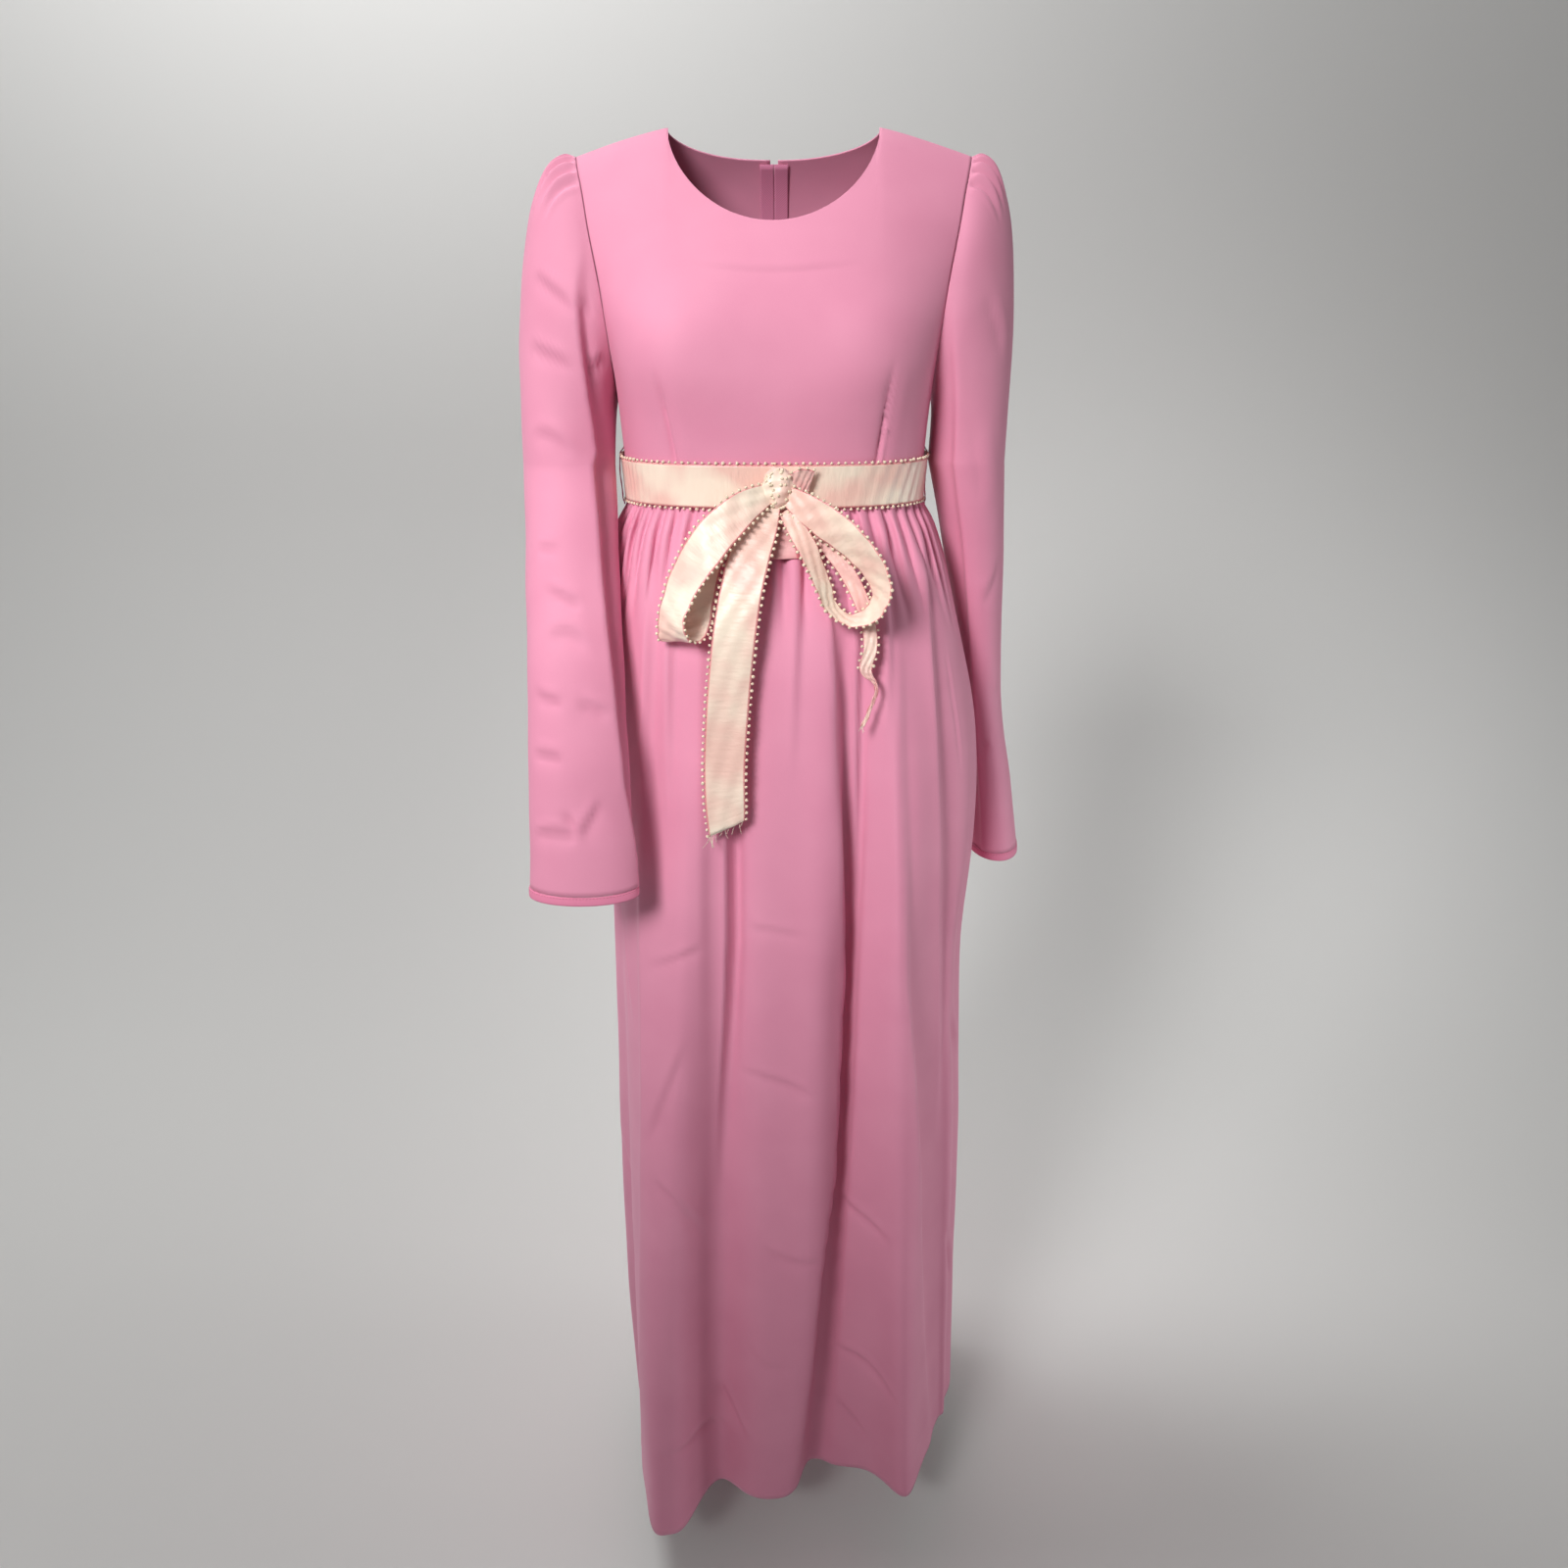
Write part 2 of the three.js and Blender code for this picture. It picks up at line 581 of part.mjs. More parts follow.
Object.entries(SLEEVES).forEach(([name, shape]) => {
  const surface = sleeve(shape);
  const facing = -shape.side;
  const length = shape.rings.rows.at(-1)[0] - shape.rings.rows[0][0];
  const hemTop = 2 - CUFF_HEM.high / length;
  const around = (b) => roundArm.map((angle) => [angle, b]);
  const rows = [...SLEEVE_ROWS, hemTop - SEAM / length].map(around);
  add(`sleeve_${name}`, wall(surface, rows, { closed: true, facing }), crepe());
  const { thick, out } = CUFF_HEM;
  const band = wall(surface, [hemTop, 2].map(around), { closed: true, facing, thick, out });
  add(`cuff_hem_${name}`, band, crepe());
});

// ---------------------------------------------------------------- belt and bow

// The band lies on the bodice, moved out clear of the gathers that start under its lower edge.
const roundBelt = steps(0, 360, BELT.columns).slice(0, -1);
const beltRow = (drop) => roundBelt.map((angle) => [angle, drop]);
const beltRows = [BELT.top, BELT.foot].map(beltRow);
add("belt_band", wall(torso, beltRows, { closed: true, thick: SATIN, out: BELT.out }), satin());

// The knot is an egg of gathered ribbon in front of the band.
function knotGeometry(grow) {
  const outline = steps(-90, 90, 10).map(
    (angle) => new THREE.Vector2(cos(angle) * (KNOT.half + grow), sin(angle) * (KNOT.tall + grow)),
  );
  outline[0].x = 0;
  outline.at(-1).x = 0;
  const geometry = new THREE.LatheGeometry(outline, 16);
  geometry.rotateX(Math.PI / 2);
  geometry.scale(1, (KNOT.deep + grow) / (KNOT.half + grow), 1);
  return geometry.translate(KNOT.x, KNOT.y, KNOT.z);
}
add("bow_knot", knotGeometry(0), satin());

// Each ribbon of the bow starts inside the knot and is cut back to lie a seam off it.
const knotRoom = solidOf(knotGeometry(SEAM));
Object.entries(BOW).forEach(([name, stations]) => {
  const surface = ribbon(stations);
  const last = stations.rows.length - 1;
  const along = steps(0, last, last * 2);
  const rows = along.map((b) => steps(-0.5, 0.5, 2).map((a) => [a, b]));
  const strip = wall(surface, rows, { thick: SATIN, out: SATIN / 2 });
  add(name, geometryOf(solidOf(strip).subtract(knotRoom)), satin());
});

// A thread loop at each side seam, from the bodice over the band to the skirt.
Object.entries({ left: 90, right: -90 }).forEach(([name, angle]) => {
  const { wide, thick, top, foot, rise } = THREAD_LOOP;
  const halfAngle = degrees(wide / 2 / TORSO.rows.at(-1)[2]);
  const surface = (a, b) => {
    const over = smooth(top, top + rise, b) * (1 - smooth(foot - rise, foot, b));
    const p = dress(angle + a, b);
    p.x += Math.sign(angle) * (thick + mix(2 * SEAM, BELT.out + SEAM, over));
    return p;
  };
  const drops = [top, top + rise / 2, top + rise, BELT.top + 12, BELT.foot - 12];
  const rows = [...drops, foot - rise, foot - rise / 2, foot].map((b) => [
    [-halfAngle, b],
    [halfAngle, b],
  ]);
  add(`belt_loop_${name}`, wall(surface, rows, { thick }), thread());
});

// ---------------------------------------------------------------- zip

// The tape lies inside the two backs, behind the gap between them.
const tapeDrops = [...bodiceDrops(NECK.back), ...SKIRT_ROWS.map((below) => WAIST + below)];
tapeDrops[0] += 2;
const tapeRows = [...tapeDrops.filter((drop) => drop < ZIP.foot), ZIP.foot + ZIP.below].map((drop) => {
  const half = degrees(ZIP.tape / at(TORSO, drop, Math.sqrt).half);
  return steps(180 - half, 180 + half, 6).map((angle) => [angle, drop]);
});
const tape = wall(dress, tapeRows, { thick: 1, out: -CLOTH - ZIP.under });
add("zip_tape", tape, thread());

// The slider and its pull tab are placed on the back by one turned group: its Y is the cloth's
// outward normal and its Z runs up the cloth.
const zipPlace = torso(180, ZIP.at);
const outward = normalAt(torso, 180, ZIP.at, 1);
const zipGroup = new THREE.Group();
zipGroup.position.copy(zipPlace);
zipGroup.rotation.x = Math.atan2(outward.z, outward.y);
root.add(zipGroup);

const block = (x, y, z, dx, dy, dz) => solidOf(new THREE.BoxGeometry(x, y, z).translate(dx, dy, dz));
const sliderFoot = -CLOTH - ZIP.under + SEAM;
const sliderTop = sliderFoot + SLIDER.high;
const barHeight = sliderTop + SLIDER.axis;

function zipSlider() {
  const body = block(SLIDER.wide, SLIDER.high, SLIDER.long, 0, sliderFoot + SLIDER.high / 2, 0);
  const earHigh = SLIDER.axis + 1.1;
  const reach = SLIDER.wide / 2 - SLIDER.ear / 2;
  const bar = new THREE.CylinderGeometry(SLIDER.bar, SLIDER.bar, SLIDER.wide - SLIDER.ear, 12);
  bar.rotateZ(Math.PI / 2).translate(0, barHeight, 0);
  return [-reach, reach]
    .map((x) => block(SLIDER.ear, earHigh + 0.5, 2.6, x, sliderTop + earHigh / 2 - 0.25, 0))
    .reduce((whole, ear) => whole.add(ear), body.add(solidOf(bar)));
}

function zipPullTab() {
  const eye = new THREE.Shape().absarc(0, 0, TAB.eye, 0, 2 * Math.PI);
  eye.holes.push(new THREE.Path().absarc(0, 0, TAB.bore, 0, 2 * Math.PI, true));
  const options = { depth: TAB.thick, bevelEnabled: false, curveSegments: 20 };
  const ring = new THREE.ExtrudeGeometry(eye, options).translate(0, 0, -TAB.thick / 2);
  ring.rotateY(Math.PI / 2).translate(0, barHeight, 0);
  const neck = block(TAB.thick, TAB.plate, 3, 0, barHeight, -TAB.bore - 0.25 - 1.5);
  const low = -TAB.bore - 2.4 - TAB.long / 2;
  const plate = block(TAB.wide, TAB.plate, TAB.long, 0, barHeight, low);
  return solidOf(ring).add(neck).add(plate);
}

add("zip_slider", geometryOf(zipSlider()), nickel(), zipGroup);
add("zip_pull_tab", geometryOf(zipPullTab()), nickel(), zipGroup);

export default root;
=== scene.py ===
"""A maxi dress in pink polyester crepe with a satin ribbon belt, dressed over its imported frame.

Sizes are in millimetres until a mesh is made, and in metres after that. The front faces -Y, +X is
the wearer's left, angles are in degrees round the body from 0 at the centre front, and a drop is a
distance below the shoulder line.
"""
import math
import random

import bmesh
import bpy
import numpy as np
from mathutils import Matrix, Vector


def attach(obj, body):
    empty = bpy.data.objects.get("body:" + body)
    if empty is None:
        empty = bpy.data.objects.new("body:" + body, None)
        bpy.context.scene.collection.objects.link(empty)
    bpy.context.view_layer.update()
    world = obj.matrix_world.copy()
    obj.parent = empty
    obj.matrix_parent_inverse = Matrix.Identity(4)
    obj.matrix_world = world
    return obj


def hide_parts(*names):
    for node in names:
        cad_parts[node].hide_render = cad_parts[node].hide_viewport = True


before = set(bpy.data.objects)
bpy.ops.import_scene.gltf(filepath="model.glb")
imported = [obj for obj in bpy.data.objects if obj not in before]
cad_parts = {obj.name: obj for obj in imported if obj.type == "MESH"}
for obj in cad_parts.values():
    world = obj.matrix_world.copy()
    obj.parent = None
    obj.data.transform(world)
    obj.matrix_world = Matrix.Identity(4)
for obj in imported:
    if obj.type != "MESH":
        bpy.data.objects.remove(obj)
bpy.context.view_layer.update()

# ---------------------------------------------------------------- camera

camera = bpy.data.objects.new("camera", bpy.data.cameras.new("camera"))
bpy.context.scene.collection.objects.link(camera)
camera.location = (0.009, -1.210, -0.174)
camera.rotation_euler = (math.radians(70), 0, 0)
camera.data.lens = 28.125
camera.data.sensor_width = 36
bpy.context.scene.camera = camera
bpy.context.scene.view_settings.view_transform = "Standard"

# ---------------------------------------------------------------- sizes

CLOTH = 1.2
SATIN = 1.0
SEAM = 0.3
TOP = 0.004
WAIST = 312
HEM = 1386
NECK_HALF, NECK_FRONT, NECK_BACK, NECK_ROUND = 93, 80, 22, 1.15
SHOULDER_HALF, SHOULDER_FALL, SHOULDER_CURVE, SHOULDER_LEVEL = 175, 23, 1.15, 200
BUST_APART, BUST_DROP, BUST_WIDE, BUST_TALL, BUST_FULL = 92, 184, 46, 44, 9
GATHERS_FRONT, GATHERS_BACK, PLEAT_DEEP = 28, 24, 2.6
GATHER_AT_SEAM, GATHER_MOST, GATHER_MOST_AT, GATHER_GONE = 0.6, 3.2, 26, 130
CAP_GATHERS, CAP_REACH, CAP_DEPTH, CAP_GONE = 9, 52, 2.7, 0.3
CUFF_HIGH, HEM_STITCH_OUT, HEM_STITCH_STEP = 8, 0.62, 3.1
BELT_TOP, BELT_FOOT, BELT_OUT = 278, 316.5, 3.8
KNOT = Vector((4, -114.2, -298))
KNOT_HALF, KNOT_DEEP, KNOT_TALL = 14.5, 9.6, 19
ZIP_GAP, ZIP_FOOT, ZIP_TAPE = 3.5, 520, 13
# creases are pressed narrower and deeper than their tables say, and a two-ply thread is this oval
CREASE_NARROWER, CREASE_DEEPER, TWO_PLY = 0.9, 1.6, 0.18

# drop, half width, depth in front, depth behind, how square the front and the back are
TORSO = [
    (0, 236, 0, 0, 2.3, 2.3),
    (4, 234, 9, 10, 2.3, 2.3),
    (20, 228, 28, 30, 2.3, 2.3),
    (50, 212, 51, 54, 2.4, 2.3),
    (80, 192, 71, 68, 2.5, 2.3),
    (120, 172, 92, 78, 2.7, 2.3),
    (160, 157, 106, 84, 2.9, 2.3),
    (200, 148, 112, 87, 2.9, 2.3),
    (225, 145.2, 111, 87, 2.8, 2.3),
    (280, 141.5, 102, 85, 2.6, 2.3),
    (312, 139.5, 99, 84, 2.5, 2.3),
    (340, 139, 98.5, 84, 2.5, 2.3),
]
# drop, how far out the armhole's edge lies
ARMHOLE = [(0, 175), (37, 167), (68, 162), (120, 153.5), (165, 148), (195, 146), (223, 145.25)]
# drop, half width to the right and left, middle, depth in front and behind, squareness of each
SKIRT = [
    (312, 139.5, 139.5, 0, 99, 84, 2.5, 2.3),
    (320, 140, 140, 0, 99.8, 84.6, 2.5, 2.3),
    (345, 150, 151, -1, 113, 92, 2.45, 2.25),
    (381, 158, 164, -3, 123, 99, 2.4, 2.2),
    (450, 168, 184, -6, 133, 108, 2.4, 2.15),
    (540, 169, 203, -9, 139, 116, 2.4, 2.1),
    (650, 168, 207, -11, 145, 124, 2.45, 2.05),
    (780, 169, 199, -12, 152, 133, 2.5, 2.05),
    (1000, 171, 207, -12, 163, 146, 2.6, 2.05),
    (1200, 170, 211, -12, 175, 156, 2.7, 2.1),
    (1386, 163, 216, -12, 186, 162, 2.8, 2.1),
]
# hanging folds: angle at the top and at the hem, spread to the wearer's right and left, how far out
# at the hem, the drop where it starts, how soon it deepens and how late it swings to its hem place
FOLDS = [
    (-39, -47, 11.5, 11.5, 88, 560, 1.15, 1),
    (-27, -34, 7, 7, 34, 430, 1.0, 1),
    (-13, -21, 7.5, 7.5, -18, 380, 0.9, 1),
    (-2, -4, 8, 8, 4, 400, 1.0, 1),
    (19.5, 10.5, 4.5, 9, -44, 350, 0.55, 2.6),
    (26, 24, 9, 9, -26, 380, 1.3, 1),
    (36, 38, 6.5, 5, 30, 350, 0.8, 1),
    (50, 54, 9, 9, -34, 430, 0.8, 1),
    (68, 71, 8, 8, -10, 400, 0.8, 1),
    (-64, -66, 8, 8, -12, 450, 0.9, 1),
    (-80, -80, 6, 6, 8, 450, 0.9, 1),
    (108, 110, 9, 9, -22, 360, 0.8, 1),
    (129, 131, 10, 10, 27, 350, 0.8, 1),
    (151, 153, 8, 8, -26, 345, 0.8, 1),
    (171, 173, 8, 8, 20, 560, 0.8, 1),
    (-167, -168, 7, 7, -21, 560, 0.9, 1),
    (-148, -147, 9, 9, 30, 345, 0.8, 1),
    (-126, -125, 8.5, 8.5, -26, 350, 0.8, 1),
    (-106, -105, 9, 9, 16, 380, 0.8, 1),
]
# drop, ring centre across and fore and aft, half width and half depth
LEFT_SLEEVE = [
    (284, 184.5, 8, 36, 52),
    (366, 198, 24, 30, 49),
    (447, 209, 38, 23.5, 46),
    (520, 217.5, 49, 21, 44),
    (574, 224.5, 52, 21.5, 44),
    (628, 232.5, 52, 23.5, 46),
    (702, 240, 48, 26.5, 49),
]
RIGHT_SLEEVE = [
    (284, 190.5, -36, 42, 46),
    (366, 186, -76, 43, 40),
    (447, 182, -114, 44, 36),
    (530, 179, -144, 46, 31),
    (600, 177, -163, 48, 28.5),
    (658, 176, -178, 50.5, 27),
]
# ribbon stations: centre, width, lean of the width from +X towards +Z, its turn to the front
BOW = {
    "bow_loop_right": [
        (-2, -116, -300, 16, -60, 0),
        (-26, -132, -312, 28, -52, 8),
        (-54, -144, -338, 36, -40, 22),
        (-77, -149, -372, 38, -24, 42),
        (-89, -152, -402, 38, -8, 52),
        (-89, -150, -421, 38, 2, 40),
        (-82, -143, -427, 38, 4, 22),
        (-76, -138, -416, 38, 3, 8),
        (-72, -134, -392, 38, 0, 0),
        (-62, -129, -360, 34, -8, 0),
        (-38, -119.5, -330, 28, -30, 0),
        (-6, -113, -303, 14, -50, 0),
    ],
    "bow_loop_left": [
        (8, -116, -301, 14, 62, 0),
        (28, -127, -313, 26, 56, 14),
        (52, -136, -329, 34, 50, 30),
        (76, -144, -349, 36, 40, 44),
        (91, -149, -371, 33, 16, 56),
        (93, -150, -389, 27, -8, 60),
        (84, -148, -403, 20, -60, 58),
        (67, -145, -408, 15, -95, 55),
        (51, -143, -397, 16, -140, 52),
        (42, -141, -375, 20, -172, 46),
        (29, -135, -346, 20, -160, 34),
        (11, -120, -316, 14, -150, 10),
    ],
    "bow_tail_long": [
        (0, -114, -308, 12, 0, 0),
        (-9, -126, -326, 26, -10, 0),
        (-21, -139, -352, 36, -12, 8),
        (-29, -150, -385, 37, -8, 8),
        (-35, -157, -422, 38, -3, 0),
        (-41, -161, -480, 38, -2, -4),
        (-45, -164, -545, 37, -2, 4),
        (-43.5, -166, -598, 37, 26, 0),
    ],
    "bow_tail_narrow": [
        (12, -112, -306, 8, 60, 0),
        (25, -116.5, -321, 12, 55, 0),
        (42, -122, -340, 14, 50, 0),
        (66, -130, -370, 14, 40, 0),
        (82, -137, -405, 13, 10, 0),
        (86, -143, -432, 12, 0, 0),
        (82, -146, -452, 11, 8, 0),
        (88, -147, -461, 5, 60, 0),
        (92, -148, -470, 3, 20, 0),
        (87, -148, -488, 3, -20, 0),
        (80, -148, -505, 3, -12, 0),
    ],
    "bow_end_short": [
        (-2, -110, -305, 12, 0, 0),
        (-5, -112, -318, 32, 0, 0),
        (-9, -116, -332, 54, 0, 0),
        (-10, -126, -358, 66, 2, 0),
    ],
    "bow_fold": [
        (8, -115, -296, 12, 84, 0),
        (19, -115.5, -293, 23, 82, 10),
        (27, -113, -292, 22, 78, 8),
        (33, -110.5, -292, 18, 74, 0),
    ],
}

# ---------------------------------------------------------------- small maths


def smooth(low, high, value):
    t = np.clip((value - low) / (high - low), 0, 1)
    return t * t * (3 - 2 * t)


def mix(a, b, t):
    return a + (b - a) * t


def bump(distance, spread):
    return np.exp(-((distance / spread) ** 2))


def at(rows, key, key_of=np.asarray):
    """The columns of a table at each key, by a smooth curve through its rows."""
    rows = np.array(rows, float)
    keys = key_of(rows[:, 0])
    x = key_of(np.clip(key, rows[0, 0], rows[-1, 0]))
    i = np.clip(np.searchsorted(keys, x) - 1, 0, len(rows) - 2)
    before = np.maximum(np.arange(len(rows)) - 1, 0)
    after = np.minimum(np.arange(len(rows)) + 1, len(rows) - 1)
    slopes = (rows[after] - rows[before]) / (keys[after] - keys[before])[:, None]
    span = keys[i + 1] - keys[i]
    t = (x - keys[i]) / span
    t, span = t[..., None], span[..., None]
    found = (
        rows[i] * (1 + 2 * t) * (1 - t) ** 2
        + rows[i + 1] * t * t * (3 - 2 * t)
        + slopes[i] * span * t * (1 - t) ** 2
        + slopes[i + 1] * span * t * t * (t - 1)
    )
    return np.moveaxis(found, -1, 0)


def ring_point(angle, half, front, back, square_front, square_back):
    s, c = np.sin(np.radians(angle)), np.cos(np.radians(angle))
    ahead = c > 0
    square = np.where(ahead, square_front, square_back)
    reach = (np.abs(s) ** square + np.abs(c) ** square) ** (-1 / square)
    return s * reach * half, np.abs(c) * reach * np.where(ahead, -front, back)


def ring_angle(distance, half, square):
    part = np.clip((distance / half) ** square, 0, 1 - 1e-9)
    return np.degrees(np.arctan((part / (1 - part)) ** (1 / square)))


def normals(surface, a, b, facing):
    step = 0.01
    across = surface(a + step, b) - surface(a - step, b)
    along = surface(a, b + step) - surface(a, b - step)
    n = np.cross(along, across) * facing
    return n / np.maximum(np.linalg.norm(n, axis=-1, keepdims=True), 1e-9)


def lifted(surface, a, b, facing, out):
    """Points of a surface, moved that many millimetres along its normal."""
    return surface(a, b) + normals(surface, a, b, facing) * np.asarray(out)[..., None]


# ---------------------------------------------------------------- garment surfaces


def torso(angle, drop):
    """The bodice, hung from the sloping shoulder line and levelling out below it."""
    _, half, front, back, square_front, square_back = at(TORSO, np.maximum(drop, 0), np.sqrt)
    x, y = ring_point(angle, half, front, back, square_front, square_back)
    out = np.abs(x)
    full = BUST_FULL * bump(out - BUST_APART, BUST_WIDE) * bump(drop - BUST_DROP, BUST_TALL)
    y = y - np.where(y < 0, full, 0)
    slope = np.maximum((out - NECK_HALF) / (SHOULDER_HALF - NECK_HALF), 0)
    fall = SHOULDER_FALL * slope**SHOULDER_CURVE
    z = -drop - fall * (1 - smooth(0, SHOULDER_LEVEL, drop))
    return np.stack([x, y, z], -1)


def gather_push(angle, drop):
    """How far the waist's gathers stand out: uneven, and flat beside the zip."""
    below = drop - WAIST
    depth = mix(GATHER_AT_SEAM, GATHER_MOST, smooth(0, GATHER_MOST_AT, below))
    depth = depth * (1 - smooth(GATHER_MOST_AT, GATHER_GONE, below))
    count = np.where(np.abs(angle) < 90, GATHERS_FRONT, GATHERS_BACK)
    uneven = 1 + 0.3 * np.sin(angle * 0.31) + 0.2 * np.sin(angle * 0.83 + 1)
    beside = smooth(8, 15, 180 - np.abs(angle))
    return depth * np.cos(np.pi * count * (angle + 90) / 90) * uneven * beside


def skirt(angle, drop):
    """The skirt's rings, pushed out and in by the hanging folds and the gathers."""
    _, right, left, middle, front, back, square_front, square_back = at(SKIRT, drop)
    turned = np.where(angle > 180, angle - 360, angle)
    half = np.where(turned > 0, left, right)
    x, y = ring_point(turned, half, front, back, square_front, square_back)
    push = gather_push(turned, drop)
    for top, hem, right_spread, left_spread, out, start, bend, swing in FOLDS:
        down = np.clip((drop - start) / (HEM - start), 0, 1)
        away = np.mod(turned - mix(top, hem, down**swing) + 180, 360) - 180
        spread = np.where(away < 0, right_spread, left_spread)
        push = push + out * down**bend * smooth(0, 0.16, down) * bump(away, spread)
    sideways = smooth(52, 84, 90 - np.abs(90 - np.abs(turned)))
    dx = np.sign(turned) * sideways
    dy = np.where(np.abs(turned) < 90, -1, 1) * (1 - sideways)
    length = np.maximum(np.hypot(dx, dy), 1e-9)
    return np.stack([x + push * dx / length, y + push * dy / length + middle, -drop + 0 * x], -1)


def dress(angle, drop):
    above = np.asarray(drop < WAIST)[..., None]
    return np.where(above, torso(angle, drop), skirt(angle, drop))


def armhole_angle(drop, ahead):
    _, half, _, _, square_front, square_back = at(TORSO, np.maximum(drop, 0), np.sqrt)
    edge = at(ARMHOLE, np.maximum(drop, 0))[1]
    found = ring_angle(edge, half, np.where(ahead, square_front, square_back))
    return np.where(drop >= ARMHOLE[-1][0], 90, found)


def sleeve(side, rings, shoulder, rise):
    """A sleeve: the angle runs from the outside over the front, b to 1 is the cap, to 2 the arm."""
    low, first, last = ARMHOLE[-1][0], rings[0][0], rings[-1][0]

    def ring_at(angle, drop):
        _, x, y, wide, deep = at(rings, drop)
        s, c = np.sin(np.radians(angle)), np.cos(np.radians(angle))
        return np.stack([side * (x + wide * c), y - deep * s, -drop + 0 * c], -1)

    def surface(angle, b):
        angle, b = np.broadcast_arrays(np.asarray(angle, float), np.asarray(b, float))
        s, c = np.sin(np.radians(angle)), np.cos(np.radians(angle))
        arm = ring_at(angle, mix(first, last, np.maximum(b - 1, 0)))
        over = (1 + c) / 2
        drop = np.maximum(low * (1 - over), TOP)
        ahead = s > 0
        edge = armhole_angle(drop, ahead)
        start = torso(side * np.where(ahead, edge, 180 - edge), drop)
        start[..., 0] += side * SEAM
        end = ring_at(angle, np.full_like(angle, first))
        leave = np.stack([side * mix(16, shoulder, over**1.2), -34 * s, mix(-34, rise, over)], -1)
        forward = (rings[1][2] - rings[0][2]) * 0.8
        arrive = np.stack([0 * over, forward + 0 * over, -mix(60, 200, over)], -1)
        t = np.clip(b, 0, 1)[..., None]
        p = start * (1 + 2 * t) * (1 - t) ** 2 + leave * t * (1 - t) ** 2
        p = p + end * t * t * (3 - 2 * t) + arrive * t * t * (t - 1)
        around = np.where(angle > 180, angle - 360, angle)
        top = 1 - smooth(CAP_REACH * 0.7, CAP_REACH, np.abs(around))
        t = t[..., 0]
        fading = smooth(0, 0.05, t) * (1 - smooth(0.12, CAP_GONE, t))
        wave = np.cos(np.pi * CAP_GATHERS * around / CAP_REACH)
        away = p - np.array([side * 150, 0, -130])
        away = away / np.linalg.norm(away, axis=-1, keepdims=True)
        p = p + away * (CAP_DEPTH * wave * top * fading)[..., None]
        return np.where((b >= 1)[..., None], arm, p)

    return surface


def ribbon(stations):
    numbered = [(i, *row) for i, row in enumerate(stations)]

    def surface(a, b):
        _, x, y, z, width, lean, turn = at(numbered, b)
        lean, turn = np.radians(lean), np.radians(turn)
        return np.stack(
            [
                x + a * width * np.cos(lean) * np.cos(turn),
                y - a * width * np.sin(turn),
                z + a * width * np.sin(lean) * np.cos(turn),
            ],
            -1,
        )

    return surface


# ---------------------------------------------------------------- creases


def ripple(points, seed, size, deep):
    """A slow unevenness over cloth: a few crossed waves of about that size in millimetres."""
    r = np.random.default_rng(seed)
    total = np.zeros(points.shape[:-1])
    for _ in range(7):
        direction = r.normal(size=3)
        direction /= np.linalg.norm(direction)
        wave = 2 * np.pi / (size * r.uniform(0.7, 1.6))
        total += np.sin(points @ direction * wave + r.uniform(0, 6.28))
    return total * deep / 3


def press(points, path, wide, deep):
    """How far a crease on a path moves each point: a sharp trough, soft below, ridged above."""
    path = np.asarray(path)
    low, high = path.min(0) - 6 * wide, path.max(0) + 6 * wide
    near = np.all((points >= low) & (points <= high), axis=-1)
    p = points[near]
    if not len(p):
        return np.zeros(points.shape[:-1])
    starts, spans = path[:-1], path[1:] - path[:-1]
    t = np.einsum("nkc,kc->nk", p[:, None] - starts, spans) / np.sum(spans**2, -1)
    foot = starts + np.clip(t, 0, 1)[..., None] * spans
    gap = np.linalg.norm(p[:, None] - foot, axis=-1)
    k = np.argmin(gap, 1)
    row = np.arange(len(p))
    away = gap[row, k]
    above = (p - foot[row, k]) @ np.array([0.3, 0, 1]) > 0
    along = (k + np.clip(t[row, k], 0, 1)) / len(spans)
    ends = smooth(0, 0.35, along) * (1 - smooth(0.65, 1, along))
    upper = 0.4 * bump(away - 2 * wide, 0.9 * wide) - bump(away, 0.8 * wide)
    lower = -np.exp(-away / (1.5 * wide))
    moved = np.zeros(points.shape[:-1])
    moved[near] = deep * ends * np.where(above, upper, lower)
    return moved


def lean(across, along, folds):
    """Folds that lean over: a long rise to a ridge, a short steep fall and a valley beyond it.

    Each has rows of where along it, its ridge's place across, its height and its valley's depth,
    then which way it falls, and the lengths of its rise, its fall and the way back up.
    """
    total = np.zeros(along.shape)
    for rows, way, rise, fall, back in folds:
        rows = np.array(rows, float)
        ridge, height, valley = (np.interp(along, rows[:, 0], rows[:, k]) for k in (1, 2, 3))
        past = way * (across - ridge)
        beyond = (height + valley) * bump(past, fall) - valley * bump(past, back)
        total += np.where(past < 0, height * np.exp(np.minimum(past, 0) / rise), beyond)
    return total


def curve_on(surface, marks, count=13):
    """A smooth path over a surface through two or three marks."""
    marks = np.array(marks, float)
    t = np.linspace(0, 1, count)[:, None]
    if len(marks) == 2:
        line = mix(marks[0], marks[1], t)
    else:
        middle = 2 * marks[1] - (marks[0] + marks[2]) / 2
        line = marks[0] * (1 - t) ** 2 + 2 * middle * t * (1 - t) + marks[2] * t * t
    return surface(line[:, 0], line[:, 1])


# ---------------------------------------------------------------- making pieces


def linear(code, alpha=1.0):
    """An sRGB hex colour as linear light."""
    parts = [int(code[i : i + 2], 16) / 255 for i in (1, 3, 5)]
    return (*[c / 12.92 if c <= 0.04045 else ((c + 0.055) / 1.055) ** 2.4 for c in parts], alpha)


